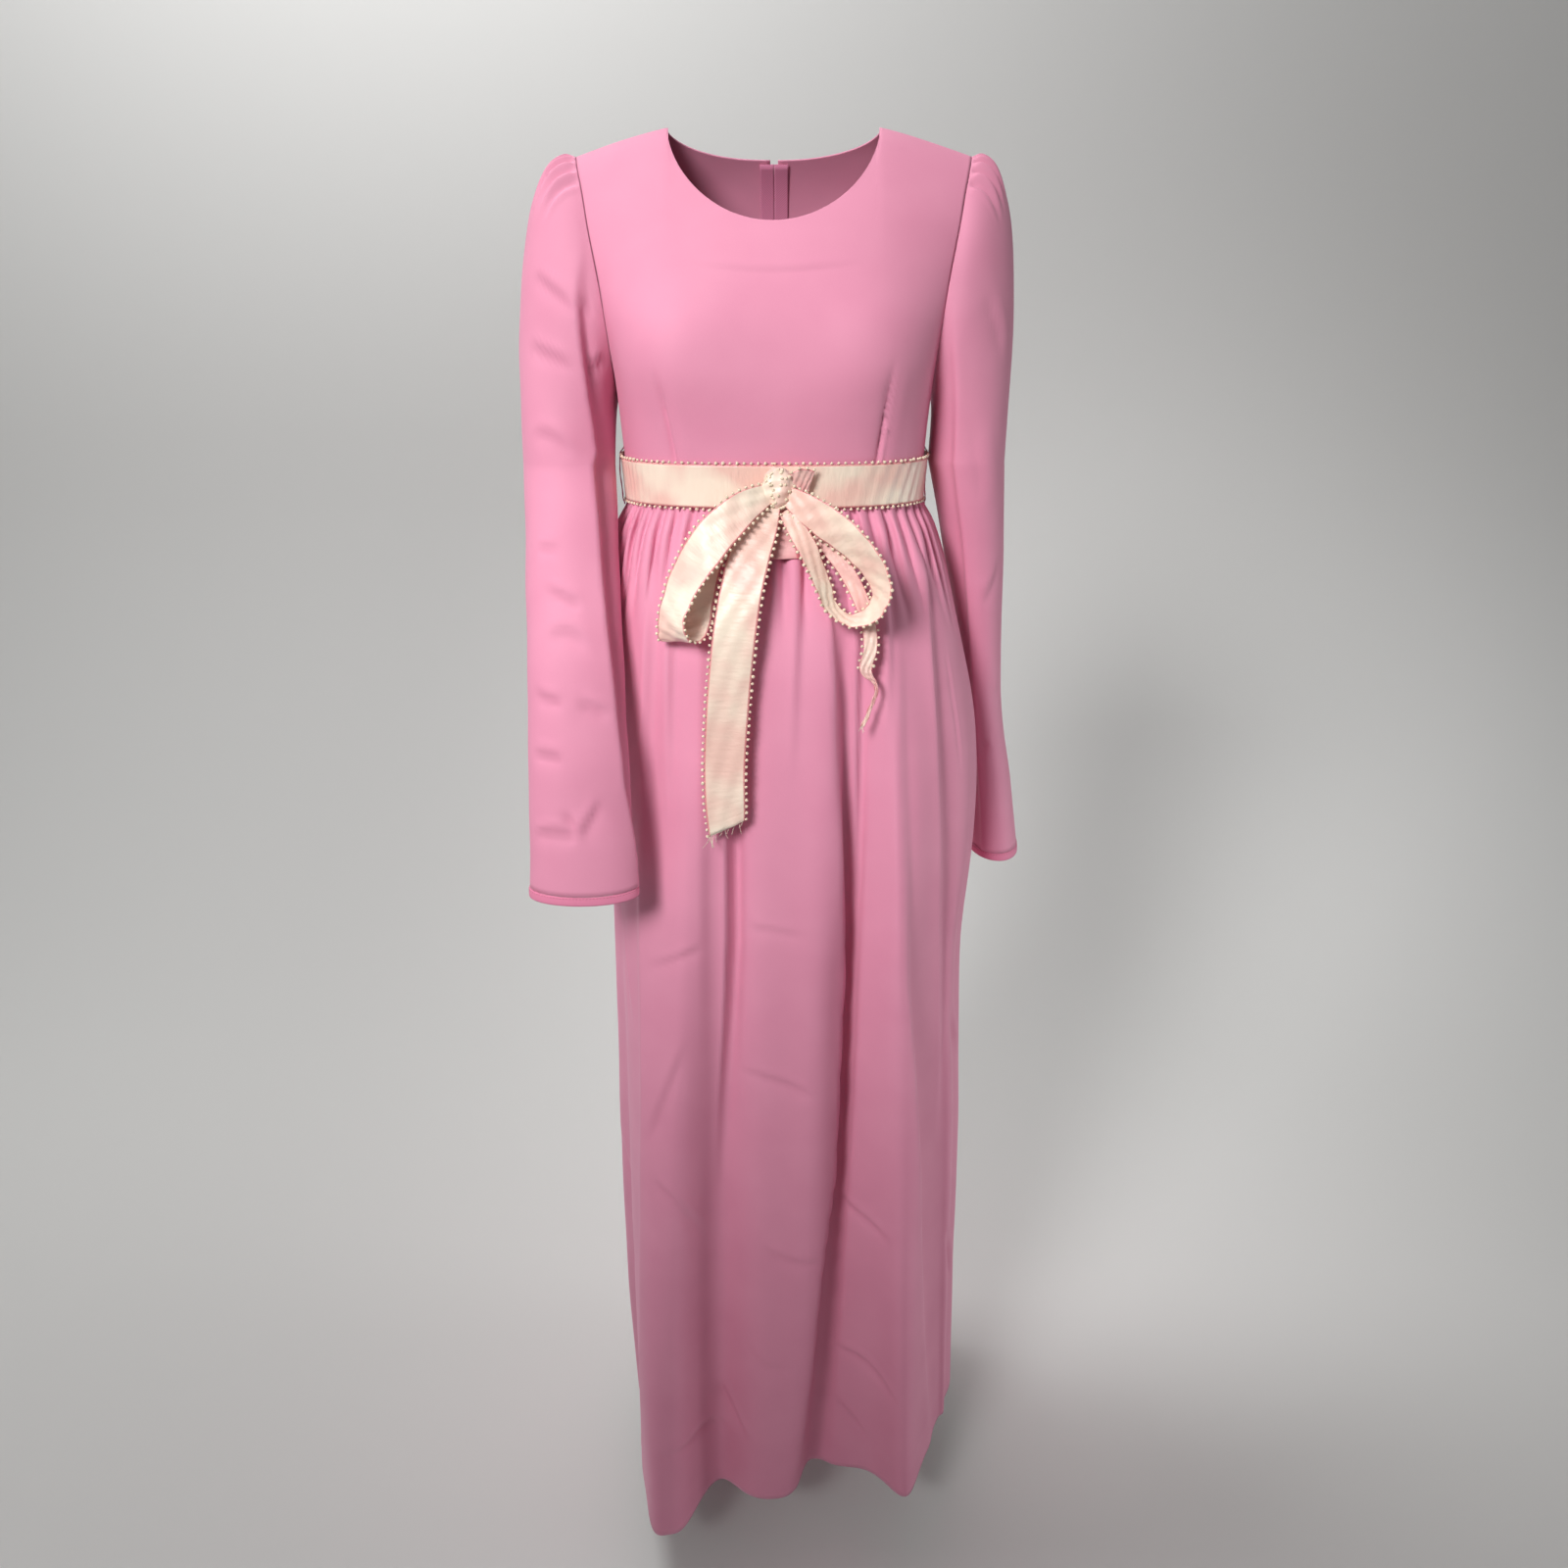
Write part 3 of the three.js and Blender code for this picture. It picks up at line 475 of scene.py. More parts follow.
def grid(points):
    """A mesh grid with each of its vertices at one of the points, which are in millimetres."""
    rows, columns = points.shape[:2]
    bm = bmesh.new()
    bmesh.ops.create_grid(bm, x_segments=columns - 1, y_segments=rows - 1, size=0.5)
    for vertex, point in zip(bm.verts, (points.reshape(-1, 3) * 0.001).tolist()):
        vertex.co = point
    return bm


def run_of(line):
    """How far along a line each of its points lies."""
    return np.concatenate([[0], np.cumsum(np.linalg.norm(np.diff(line, axis=0), axis=-1))])


def stops_on(line, run, stops):
    return np.stack([np.interp(stops, run, line[:, k]) for k in range(3)], -1)


def keep(name, bm, material):
    mesh = bpy.data.meshes.new(name)
    bm.to_mesh(mesh)
    bm.free()
    mesh.materials.append(material)
    mesh.shade_smooth()
    piece = bpy.data.objects.new(name, mesh)
    bpy.context.scene.collection.objects.link(piece)
    return piece


def lay(name, points, material, facing=1, closed=False, thick=CLOTH, width=None):
    """A cloth piece: a grid laid on rows of points in millimetres, with a wall behind it."""
    rows, columns = points.shape[:2]
    bm = grid(points)
    steps_across = np.linalg.norm(np.diff(points, axis=1), axis=-1)
    steps_along = np.linalg.norm(np.diff(points, axis=0), axis=-1)
    u = np.concatenate([np.zeros((rows, 1)), np.cumsum(steps_across, 1)], 1)
    u = (u - u[:, -1:] / 2) * 0.001
    if width is not None:
        u = np.linspace(-0.5, 0.5, columns)[None] * width * 0.001 + 0 * u
    down = np.cumsum(steps_along.mean(1))[:, None]
    v = np.concatenate([np.zeros((1, columns)), down + 0 * u[1:]])
    uv = np.stack([u, v * 0.001], -1).reshape(-1, 2)
    layer = bm.loops.layers.uv.new("cloth")
    for face in bm.faces:
        for loop in face.loops:
            loop[layer].uv = uv[loop.vert.index]
    if facing > 0:
        bmesh.ops.reverse_faces(bm, faces=bm.faces)
    if closed:
        bmesh.ops.remove_doubles(bm, verts=bm.verts, dist=1e-7)
    piece = keep(name, bm, material)
    wall = piece.modifiers.new("wall", "SOLIDIFY")
    wall.thickness = thick * 0.001
    wall.offset = -1
    return piece


def beads(name, spots, material, radius):
    """Small thread picots, one at each place in millimetres, each with its own squash."""
    r = random.Random(name)
    bm = bmesh.new()
    for spot in spots:
        size = radius * r.uniform(0.85, 1.12)
        turn = Matrix.Rotation(r.uniform(0, 3.14), 4, (r.random(), r.random(), 1))
        squash = Matrix.Diagonal((size, size * r.uniform(0.72, 1), size * r.uniform(0.8, 1), 1))
        matrix = Matrix.Translation(Vector(spot) * 0.001) @ turn @ squash
        bmesh.ops.create_uvsphere(bm, u_segments=7, v_segments=5, radius=0.001, matrix=matrix)
    return keep(name, bm, material)


def strand(name, path, radius, material, sides=8, twist=0.0):
    """A thread along a path, both in millimetres."""
    path = np.asarray(path, float)
    ahead = np.gradient(path, axis=0)
    ahead /= np.linalg.norm(ahead, axis=-1, keepdims=True)
    side = np.cross(ahead, [0.31, 0.17, 0.93])
    side /= np.linalg.norm(side, axis=-1, keepdims=True)
    up = np.cross(side, ahead)
    round_it = np.linspace(0, 2 * np.pi, sides + 1)
    turn = round_it[None] + twist * np.arange(len(path))[:, None]
    size = radius * (1 + (TWO_PLY * np.cos(2 * round_it) if twist else 0))
    ring = side[:, None] * (np.cos(turn) * size)[..., None]
    ring = ring + up[:, None] * (np.sin(turn) * size)[..., None]
    bm = grid(path[:, None] + ring)
    bmesh.ops.remove_doubles(bm, verts=bm.verts, dist=1e-7)
    bmesh.ops.holes_fill(bm, edges=bm.edges, sides=sides + 1)
    bmesh.ops.recalc_face_normals(bm, faces=bm.faces)
    return keep(name, bm, material)


def join(name, pieces):
    """Joins pieces of one material into the first of them."""
    bm = bmesh.new()
    for piece in pieces:
        bm.from_mesh(piece.data)
    bm.to_mesh(pieces[0].data)
    bm.free()
    pieces[0].name = pieces[0].data.name = name
    for piece in pieces[1:]:
        bpy.data.meshes.remove(piece.data)


def stitches(name, path, step, material, long=1.15, thick=0.3):
    """A row of sewn stitches along a closed or open path, each a short grain of thread."""
    run = run_of(path)
    bm = bmesh.new()
    for stop in np.arange(step / 2, run[-1], step):
        here, ahead = (Vector(stops_on(path, run, where)) for where in (stop, stop + 0.5))
        turn = (ahead - here).to_track_quat("X", "Z").to_matrix().to_4x4()
        matrix = Matrix.Translation(here * 0.001) @ turn @ Matrix.Diagonal((long, thick, thick, 1))
        bmesh.ops.create_uvsphere(bm, u_segments=5, v_segments=4, radius=0.001, matrix=matrix)
    return keep(name, bm, material)


# ---------------------------------------------------------------- finishes


def fill(tree, made, inputs):
    """Fills a node's inputs: a value is set on the socket itself, and a socket is linked."""
    for key, value in inputs.items():
        if isinstance(value, bpy.types.NodeSocket):
            tree.links.new(value, made.inputs[key])
        else:
            made.inputs[key].default_value = value


def node(tree, kind, inputs=None, **settings):
    """Adds a node, sets its settings and fills its inputs."""
    made = tree.nodes.new(kind)
    for key, value in settings.items():
        setattr(made, key, value)
    fill(tree, made, inputs or {})
    return made


def woven(tree, shader, pattern, dark, light, height, strength, distance, span=(0, 1)):
    """A cloth's face: a pattern runs its colour from dark to light, and a height raises it."""
    tone = node(tree, "ShaderNodeValToRGB", {"Fac": pattern})
    for stop, position, code in zip(tone.color_ramp.elements, span, (dark, light)):
        stop.position = position
        stop.color = linear(code)
    bump_of = {"Height": height, "Strength": strength, "Distance": distance}
    raised = node(tree, "ShaderNodeBump", bump_of)
    fill(tree, shader, {"Base Color": tone.outputs["Color"], "Normal": raised.outputs["Normal"]})
    return tone.outputs["Color"]


def new_material(name):
    material = bpy.data.materials.new(name)
    material.use_nodes = True
    tree = material.node_tree
    return material, tree, tree.nodes["Principled BSDF"]


def crepe(name, body, shade, sheen=0.35):
    """Polyester crepe of hard-twisted yarn: a dull pebbled face with a faint soft bloom."""
    material, tree, shader = new_material(name)
    where = node(tree, "ShaderNodeTexCoord").outputs["Object"]
    # yarn pebbles of 0.9 mm, drawn a little coarser than the real ones so that they show
    pebble = node(tree, "ShaderNodeTexNoise", {"Vector": where, "Scale": 1100, "Detail": 3})
    # slubs and finger marks of about 60 mm
    cloud = node(tree, "ShaderNodeTexNoise", {"Vector": where, "Scale": 16, "Detail": 2})
    grain = node(
        tree,
        "ShaderNodeMix",
        {"Factor": 0.3, "A": cloud.outputs["Fac"], "B": pebble.outputs["Fac"]},
        data_type="FLOAT",
    )
    tone = grain.outputs["Result"]
    # the tone is partly random slubs and partly painted shade: the pebbles' hollows, sunk by the
    # same noise, take the darker pink
    woven(tree, shader, tone, shade, body, pebble.outputs["Fac"], 0.22, 0.0004, (0.3, 0.7))
    finish = {"Roughness": 0.72, "IOR": 1.48, "Sheen Weight": sheen, "Sheen Roughness": 0.45}
    fill(tree, shader, {**finish, "Sheen Tint": linear("#f4cfe2")})
    return material


def satin(name, cream, blush, edge, flush=0.0):
    """Polyester satin ribbon: long floats along its length, so it shines in bands across it."""
    material, tree, shader = new_material(name)
    uv = node(tree, "ShaderNodeUVMap", uv_map="cloth").outputs["UV"]
    where = node(tree, "ShaderNodeTexCoord").outputs["Object"]
    # the dye's pale pink and cream run into each other over about 45 mm
    cloud = node(tree, "ShaderNodeTexNoise", {"Vector": where, "Scale": 22, "Detail": 2})
    # crinkles of 3 to 9 mm pressed across the ribbon, and its warp floats of 0.4 mm
    stretched = node(tree, "ShaderNodeMapping", {"Vector": uv, "Scale": (60, 260, 1)}).outputs[0]
    crinkle = node(tree, "ShaderNodeTexNoise", {"Vector": stretched, "Scale": 1, "Detail": 4})
    floats = node(tree, "ShaderNodeMapping", {"Vector": uv, "Scale": (2500, 120, 1)}).outputs[0]
    weave = node(tree, "ShaderNodeTexNoise", {"Vector": floats, "Scale": 1, "Detail": 1})
    high = node(
        tree,
        "ShaderNodeMix",
        {"Factor": 0.12, "A": crinkle.outputs["Fac"], "B": weave.outputs["Fac"]},
        data_type="FLOAT",
    ).outputs["Result"]
    tone = cloud.outputs["Fac"]
    tone = woven(tree, shader, tone, blush, cream, high, 0.5, 0.0016, (0.38, 0.62))
    # painted shade: a dark red-pink rim, 1.4 mm wide at each edge of the 38 mm ribbon, stands in
    # for the shaded pink cloth seen between the picots
    across = node(tree, "ShaderNodeSeparateXYZ", {"Vector": uv}).outputs["X"]
    out = node(tree, "ShaderNodeMath", {0: across}, operation="ABSOLUTE").outputs[0]
    if flush:
        # painted shade: one half is painted a darker pink for the shade it lies in behind the knot,
        # from 2 mm past its middle
        turned = node(
            tree,
            "ShaderNodeMapRange",
            {"Value": across, "From Min": 0.0, "From Max": 0.002, "To Min": 0.0, "To Max": flush},
        )
        tone = node(
            tree,
            "ShaderNodeMix",
            {"Factor": turned.outputs["Result"], "A": tone, "B": linear(blush)},
            data_type="RGBA",
        ).outputs["Result"]
    rim = node(
        tree,
        "ShaderNodeMapRange",
        {"Value": out, "From Min": 0.0172, "From Max": 0.0180, "To Min": 0.0, "To Max": 0.75},
    )
    colour = node(
        tree,
        "ShaderNodeMix",
        {"Factor": rim.outputs["Result"], "A": tone, "B": linear(edge)},
        data_type="RGBA",
    )
    finish = {"Roughness": 0.38, "IOR": 1.5, "Sheen Weight": 0.2}
    fill(tree, shader, {**finish, "Base Color": colour.outputs["Result"]})
    return material


def yarn(name, light, dark):
    """Spun sewing yarn: matt, with its twist showing as fine slanting bands."""
    material, tree, shader = new_material(name)
    where = node(tree, "ShaderNodeTexCoord").outputs["Object"]
    # the plies show as bands about 0.5 mm apart
    twist = node(
        tree,
        "ShaderNodeTexWave",
        {"Vector": where, "Scale": 700, "Distortion": 3, "Detail": 1},
        bands_direction="DIAGONAL",
    )
    wave = twist.outputs["Fac"]
    # painted shade: the colour runs to the dark tone where the same bands sink, in the grooves
    # between the plies
    woven(tree, shader, wave, dark, light, wave, 0.35, 0.0003)
    fill(tree, shader, {"Roughness": 0.7, "Sheen Weight": 0.3})
    return material


def twill(name, light, dark):
    """Herringbone zip tape: narrow slanting ribs in the cloth's own pink."""
    material, tree, shader = new_material(name)
    uv = node(tree, "ShaderNodeUVMap", uv_map="cloth").outputs["UV"]
    # ribs about 1.6 mm apart
    ribs = node(
        tree,
        "ShaderNodeTexWave",
        {"Vector": uv, "Scale": 280, "Distortion": 0.6},
        bands_direction="DIAGONAL",
    )
    wave = ribs.outputs["Fac"]
    # painted shade: the colour runs to the dark tone where the same ribs sink, between them
    woven(tree, shader, wave, dark, light, wave, 0.3, 0.0003)
    fill(tree, shader, {"Roughness": 0.8})
    return material


def nickel(name):
    """Die-cast zinc with nickel plating: bright, with a slight tumbled unevenness."""
    material, tree, shader = new_material(name)
    where = node(tree, "ShaderNodeTexCoord").outputs["Object"]
    # tumbling marks of about 1.1 mm
    tumble = node(tree, "ShaderNodeTexNoise", {"Vector": where, "Scale": 900, "Detail": 3})
    rough = node(
        tree,
        "ShaderNodeMapRange",
        {"Value": tumble.outputs["Fac"], "To Min": 0.2, "To Max": 0.42},
    )
    finish = {"Base Color": linear("#cfcdc8"), "Metallic": 1}
    fill(tree, shader, {**finish, "Roughness": rough.outputs["Result"]})
    return material


PINK = crepe("pink_crepe", "#e293ae", "#dc8ba7", 0.25)
HEM_PINK = crepe("turned_hem_crepe", "#e688a8", "#dd7e9f", 0.15)
# each satin's last colour is the painted shade of its rim, for the shaded cloth between the picots
RIBBON = satin("cream_satin", "#f4e3cf", "#edc4b6", "#d9707c")
# the short end behind the knot, with painted shade on one half
FLAP = satin("half_shaded_satin", "#f4e3cf", "#dd9c9e", "#d9707c", 0.85)
BLUSH = satin("blush_satin", "#f3d3c4", "#e2a3a2", "#d9707c")
PICOT = yarn("picot_thread", "#f6e9d2", "#e0c9a8")
PINK_THREAD = yarn("pink_sewing_thread", "#e88bab", "#c9698a")
HEM_THREAD = yarn("hem_sewing_thread", "#d9738f", "#b4506e")
TAPE = twill("zip_tape_twill", "#e18cad", "#cf7698")
COIL = yarn("nylon_zip_coil", "#eaa0bd", "#d98aa9")
FRAY = yarn("frayed_satin_warp", "#efe3d2", "#d8c8ad")
METAL = nickel("nickel_plated_zinc")


def place(piece, slot, *nodes):
    """Puts a piece on the dress in place of its CAD solids; its slot is not used."""
    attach(piece, "dress")
    if nodes:
        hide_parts(*nodes)
    return piece


# ---------------------------------------------------------------- bodice


def bodice_columns(ahead, turns, shoulders):
    """Each column's top drop and its share of the way from the centre to the armhole."""
    depth = NECK_FRONT if ahead else NECK_BACK
    turn = np.radians(np.concatenate([np.linspace(0, 66, turns), [70.5, 75, 80, 90]]))
    out = NECK_HALF * np.sin(turn)
    top = np.maximum(depth * np.maximum(np.cos(turn), 0) ** NECK_ROUND, TOP)
    _, half, _, _, square_front, square_back = at(TORSO, top, np.sqrt)
    square = square_front if ahead else square_back
    share = ring_angle(out, half, square) / armhole_angle(top, ahead)
    rest = np.linspace(share[-1], 1, shoulders + 1)[1:]
    return np.concatenate([top, np.full(shoulders, TOP)]), np.concatenate([share, rest])


def zip_angle(drop, half):
    gap = mix(ZIP_GAP, SEAM / 2, smooth(ZIP_FOOT, ZIP_FOOT + 30, drop))
    return np.degrees(gap / half)


def bodice_grid(top, share, side, ahead, rows):
    """The edge columns follow the armhole, and those nearer the centre a smoother line."""
    down = np.linspace(0, 1, rows)[:, None] ** 1.35
    drop = mix(top[None], WAIST - SEAM / 2, down)
    _, half, front, back, _, _ = at(TORSO, drop, np.sqrt)
    seam = 90 - np.degrees(SEAM / 2 / (front if ahead else back))
    edge = np.where(drop < ARMHOLE[-1][0], np.minimum(armhole_angle(drop, ahead), seam), seam)
    bend = armhole_angle(np.full_like(drop, 160), ahead)
    eased = np.where(drop < 160, edge, mix(bend, seam, smooth(160, WAIST, drop)))
    part = np.abs(share[None])
    turned = np.sign(share[None]) * (part * eased + (edge - eased) * part**14)
    if ahead:
        return turned, drop
    return side * (180 - turned - zip_angle(drop, half) * (1 - part)), drop


def draped(surface, a, b, facing=1, creases=(), seed=1, size=70, deep=0.5, folds=(), across=None):
    """Points of a cloth surface with its creases pressed in and a slow unevenness."""
    points = surface(a, b)
    out = normals(surface, a, b, facing)
    push = ripple(points, seed, size, deep)
    push = push + lean(points[..., 0] if across is None else across, b, folds)
    for marks, wide, depth in creases:
        path = curve_on(surface, marks)
        push = push + press(points, path, CREASE_NARROWER * wide, CREASE_DEEPER * depth)
    return points + out * push[..., None]


DART_RIGHT = [(-34.5, 306), (-36.5, 250), (-39.5, 190)]
DART_LEFT = [(36.5, 306), (38.2, 245), (39.5, 185)]

top, share = bodice_columns(True, 40, 30)
top, share = np.concatenate([top[:0:-1], top]), np.concatenate([-share[:0:-1], share])
a, b = bodice_grid(top, share, 1, True, 128)
front_creases = [
    (DART_LEFT, 1.9, 2.2),
    (DART_RIGHT, 1.9, 2.2),
    (DART_LEFT, 8, 1.0),
    (DART_RIGHT, 8, 1.0),
    ([(-30, 112), (0, 122), (30, 112)], 4, 0.3),
]
points = draped(torso, a, b, 1, front_creases, 2, 90, 0.35)
bodice_front = place(lay("bodice_front_cloth", points, PINK), "crepe", "bodice_front")

for name, side in (("left", 1), ("right", -1)):
    top, share = bodice_columns(False, 26, 16)
    a, b = bodice_grid(top, share, side, False, 96)
    creases = [
        ([(side * 132, 312), (side * 133, 250), (side * 134, 190)], 1.8, 1.0),
        ([(side * 150, 285), (side * 128, 270), (side * 108, 240)], 6, 0.8),
        ([(side * 160, 250), (side * 140, 235), (side * 120, 200)], 7, 0.7),
    ]
    points = draped(torso, a, b, 1, creases, 5 + side, 80, 0.4)
    piece = lay(f"bodice_back_{name}_cloth", points, PINK, facing=-side)
    place(piece, "crepe", f"bodice_back_{name}")

# ---------------------------------------------------------------- skirt

# creases in the front: two or three marks of angle and drop, half width, depth
SKIRT_CREASES = [
    ([(-44.8, 756), (-30.1, 732), (-23, 721)], 4, 1.6),
    ([(-43.9, 945), (-35.9, 880), (-26.5, 808)], 5, 1.8),
    ([(-43.9, 974), (-32.8, 996), (-23, 1060)], 4.5, 1.8),
    ([(-10.5, 702), (-1.1, 706), (10, 713)], 4, 1.0),
    ([(-16.7, 855), (2.9, 870), (10.5, 893)], 4.5, 1.6),
    ([(-8.7, 1055), (5.1, 1078), (10.9, 1079)], 4.5, 1.6),
    ([(16.3, 1028), (26.1, 1047), (34.1, 1067)], 4.5, 2.0),
    ([(-21.6, 1243), (-17.2, 1278), (-9.6, 1315)], 5, 3.0),
    ([(15.4, 1228), (26.5, 1236), (36.4, 1279)], 5, 3.0),
    ([(16.7, 1292), (22.1, 1315), (26.5, 1342)], 4.5, 2.2),
    ([(-46.6, 1299), (-29.7, 1290), (-15.4, 1327)], 5, 2.4),
    ([(-12, 1180), (-4, 1210), (6, 1206)], 6, 1.2),
    ([(58.2, 434), (56, 504), (57.3, 580)], 1.6, 0.8),
    ([(-75, 700), (-62, 760), (-55, 850)], 6, 1.6),
    ([(62, 820), (70, 880), (80, 900)], 6, 1.6),
    ([(60, 1120), (68, 1150), (78, 1230)], 6, 1.8),
    ([(-82, 1010), (-70, 1060), (-58, 1150)], 6, 1.6),
    ([(-89, 1349), (-45, 1349), (0, 1348)], 2.2, 0.6),
    ([(0, 1348), (45, 1349), (89, 1349)], 2.2, 0.6),
]
# leaning folds in the front, as lean() takes them: drop, ridge's x, height, valley; way; lengths
SKIRT_FOLDS = [
    (
        [(330, 50, 0, 0), (430, 53, 4, 3), (520, 54, 7, 6), (642, 54, 13, 16), (771, 57, 14, 20),
         (879, 53, 14, 20), (995, 50, 13, 17), (1105, 39, 11, 14), (1229, 31, 9, 11),
         (1386, 20, 3, 0)],
        1, 22, 8, 17,
    ),
    (
        [(400, 108, 0, 0), (528, 113, 6, 4), (662, 121, 9, 7), (762, 123, 9, 8), (870, 131, 9, 8),
         (987, 142, 8, 7), (1114, 150, 7, 5), (1259, 162, 5, 3), (1386, 175, 3, 0)],
        1, 13, 7, 22,
    ),
    ([(470, -45, 0, 0), (540, -46, 3, 10), (619, -47, 6, 24), (720, -48, 6, 27), (804, -52, 5, 19),
      (890, -58, 3, 8), (1000, -63, 0, 0)], 1, 20, 7, 13),
    ([(400, 84, 0, 0), (520, 86, 4, 0), (642, 89, 8, 0), (890, 87, 11, 0), (1066, 80, 10, 0),
      (1229, 72, 7, 0), (1386, 62, 3, 0)], 1, 10, 40, 20),
    ([(600, -127, 0, 0), (689, -128.5, 4, 3), (871, -130, 5, 4), (1216, -142, 4, 3),
      (1386, -150, 2, 0)], -1, 16, 6, 16),
    ([(330, 46, 0, 0), (380, 47, 5, 4), (471, 48, 6, 6), (560, 48, 3, 4), (640, 50, 0, 0)],
     1, 10, 5, 9),
    ([(340, 72, 0, 0), (400, 73, 5, 4), (473, 74, 6, 6), (560, 75, 6, 7), (640, 76, 3, 4),
      (720, 78, 0, 0)], 1, 12, 5, 10),
    ([(330, 132, 0, 0), (380, 136, 5, 3), (470, 144, 6, 5), (620, 156, 5, 5), (860, 168, 4, 3),
      (1000, 172, 0, 0)], 1, 12, 6, 14),
    ([(320, -63, 0, 0), (380, -66, 4, 3), (560, -70, 4, 2), (700, -74, 3, 1), (900, -78, 0, 0)],
     1, 16, 9, 16),
    ([(320, -112, 0, 0), (380, -114, 5, 4), (520, -122, 5, 4), (680, -128, 0, 0)], 1, 12, 6, 12),
    ([(320, -92, 0, 0), (360, -94, 4, 3), (470, -98, 4, 3), (640, -102, 0, 0)], 1, 9, 5, 10),
    ([(320, -30, 0, 0), (360, -31, 3, 3), (470, -34, 3, 2), (600, -36, 0, 0)], 1, 9, 5, 9),
    ([(320, 20, 0, 0), (360, 20, 3, 3), (440, 18, 3, 2), (560, 14, 0, 0)], 1, 9, 5, 9),
    ([(320, 98, 0, 0), (370, 99, 4, 4), (450, 102, 5, 3), (540, 106, 0, 0)], 1, 9, 5, 9),
]
# leaning folds in each half of the back, by the distance from the zip
BACK_FOLDS = [
    ([(330, 34, 0, 0), (420, 36, 5, 4), (560, 40, 7, 6), (760, 43, 8, 7), (980, 46, 8, 6),
      (1386, 50, 4, 2)], 1, 18, 8, 20),
    ([(360, 86, 0, 0), (470, 90, 5, 5), (640, 95, 8, 8), (880, 98, 9, 9), (1120, 102, 7, 6),
      (1386, 106, 3, 2)], -1, 18, 8, 22),
    ([(340, 128, 0, 0), (420, 134, 5, 4), (560, 142, 6, 6), (760, 147, 5, 5), (1000, 150, 0, 0)],
     1, 14, 7, 16),
    ([(700, 68, 0, 0), (820, 68, 4, 3), (1050, 71, 6, 5), (1386, 76, 4, 3)], 1, 14, 7, 14),
    ([(320, 62, 0, 0), (360, 63, 4, 3), (450, 65, 4, 3), (560, 67, 0, 0)], 1, 9, 5, 9),
    ([(900, 158, 0, 0), (1050, 157, 5, 4), (1250, 160, 5, 4), (1386, 162, 3, 2)], -1, 12, 7, 14),
]
BACK_CREASES = [
    ([(168, 640), (150, 700), (132, 728)], 6, 1.8),
    ([(112, 520), (128, 560), (140, 640)], 6, 1.8),
    ([(102, 760), (118, 830), (130, 930)], 7, 2.0),
    ([(170, 900), (158, 980), (140, 1020)], 6, 1.8),
    ([(146, 1110), (132, 1150), (112, 1170)], 6, 2.0),
    ([(172, 1180), (160, 1230), (150, 1300)], 6, 2.0),
    ([(124, 1240), (112, 1280), (98, 1310)], 6, 2.0),
    ([(96, 420), (104, 470), (108, 540)], 6, 1.4),
]


def skirt_grid(low, high, columns, rows):
    down = np.linspace(0, 1, rows)[:, None]
    drop = WAIST + mix(0.15, HEM - WAIST, 0.8 * down + 0.2 * down**2)
    across = np.linspace(0, 1, columns)[None]
    drop = drop + 0 * across
    return mix(low(drop), high(drop), across), drop


def pleat_lines(angle, drop):
    """The sharp valleys between the waist's gathers, which the solid's waves leave round."""
    count = np.where(np.abs(angle) < 90, GATHERS_FRONT, GATHERS_BACK)
    valley = (0.5 - 0.5 * np.cos(np.pi * count * (angle + 90) / 90)) ** 4
    below = drop - WAIST
    uneven = 1 + 0.4 * np.sin(angle * 0.47 + 2) + 0.3 * np.sin(angle * 1.13)
    fading = smooth(-2, 10, below) * (1 - smooth(20, 95 + 30 * uneven, below))
    return -PLEAT_DEEP * valley * uneven * fading


def skirt_side(drop, ahead):
    _, _, _, _, front, back, _, _ = at(SKIRT, drop)
    return np.degrees(SEAM / 2 / (front if ahead else back))


a, b = skirt_grid(
    lambda drop: -90 + skirt_side(drop, True), lambda drop: 90 - skirt_side(drop, True), 207, 228
)
points = draped(skirt, a, b, 1, SKIRT_CREASES, 11, 120, 0.4, SKIRT_FOLDS)
points = points + normals(skirt, a, b, 1) * pleat_lines(a, b)[..., None]
skirt_front = place(lay("skirt_front_cloth", points, PINK), "crepe", "skirt_front")

for name, side in (("left", 1), ("right", -1)):
    column = 2 if side > 0 else 1
    a, b = skirt_grid(
        lambda drop: side * (90 + skirt_side(drop, False)),
        lambda drop: side * (180 - zip_angle(drop, at(SKIRT, drop)[column])),
        125,
        228,
    )
    # the right back has the same creases mirrored, at least 40 mm higher and each a little turned
    creases = [([(side * 93, 1349), (side * 135, 1349), (side * 178, 1349)], 2.2, 0.6)]
    higher, slant = (0, 0) if side > 0 else (40, 0.3)
    for marks, wide, deep in BACK_CREASES:
        turned = [(side * angle, drop - (higher + slant * angle)) for angle, drop in marks]
        creases.append((turned, wide, deep))
    # the right back's leaning folds lie 7 mm further from the zip, and are lower in relief
    further, relief = (0, 1) if side > 0 else (7, 0.8)
    aside = np.abs(skirt(a, b)[..., 0]) - further
    folds = [
        ([(drop, out, high * relief, deep) for drop, out, high, deep in places], *lengths)
        for places, *lengths in BACK_FOLDS
    ]
    points = draped(skirt, a, b, 1, creases, 13 + side, 110, 0.9, folds, aside)
    beside = smooth(8, 15, 180 - np.abs(a))
    points = points + normals(skirt, a, b, 1) * (pleat_lines(a, b) * beside)[..., None]
    piece = lay(f"skirt_back_{name}_cloth", points, PINK, facing=side)
    place(piece, "crepe", f"skirt_back_{name}")

# ---------------------------------------------------------------- sleeves

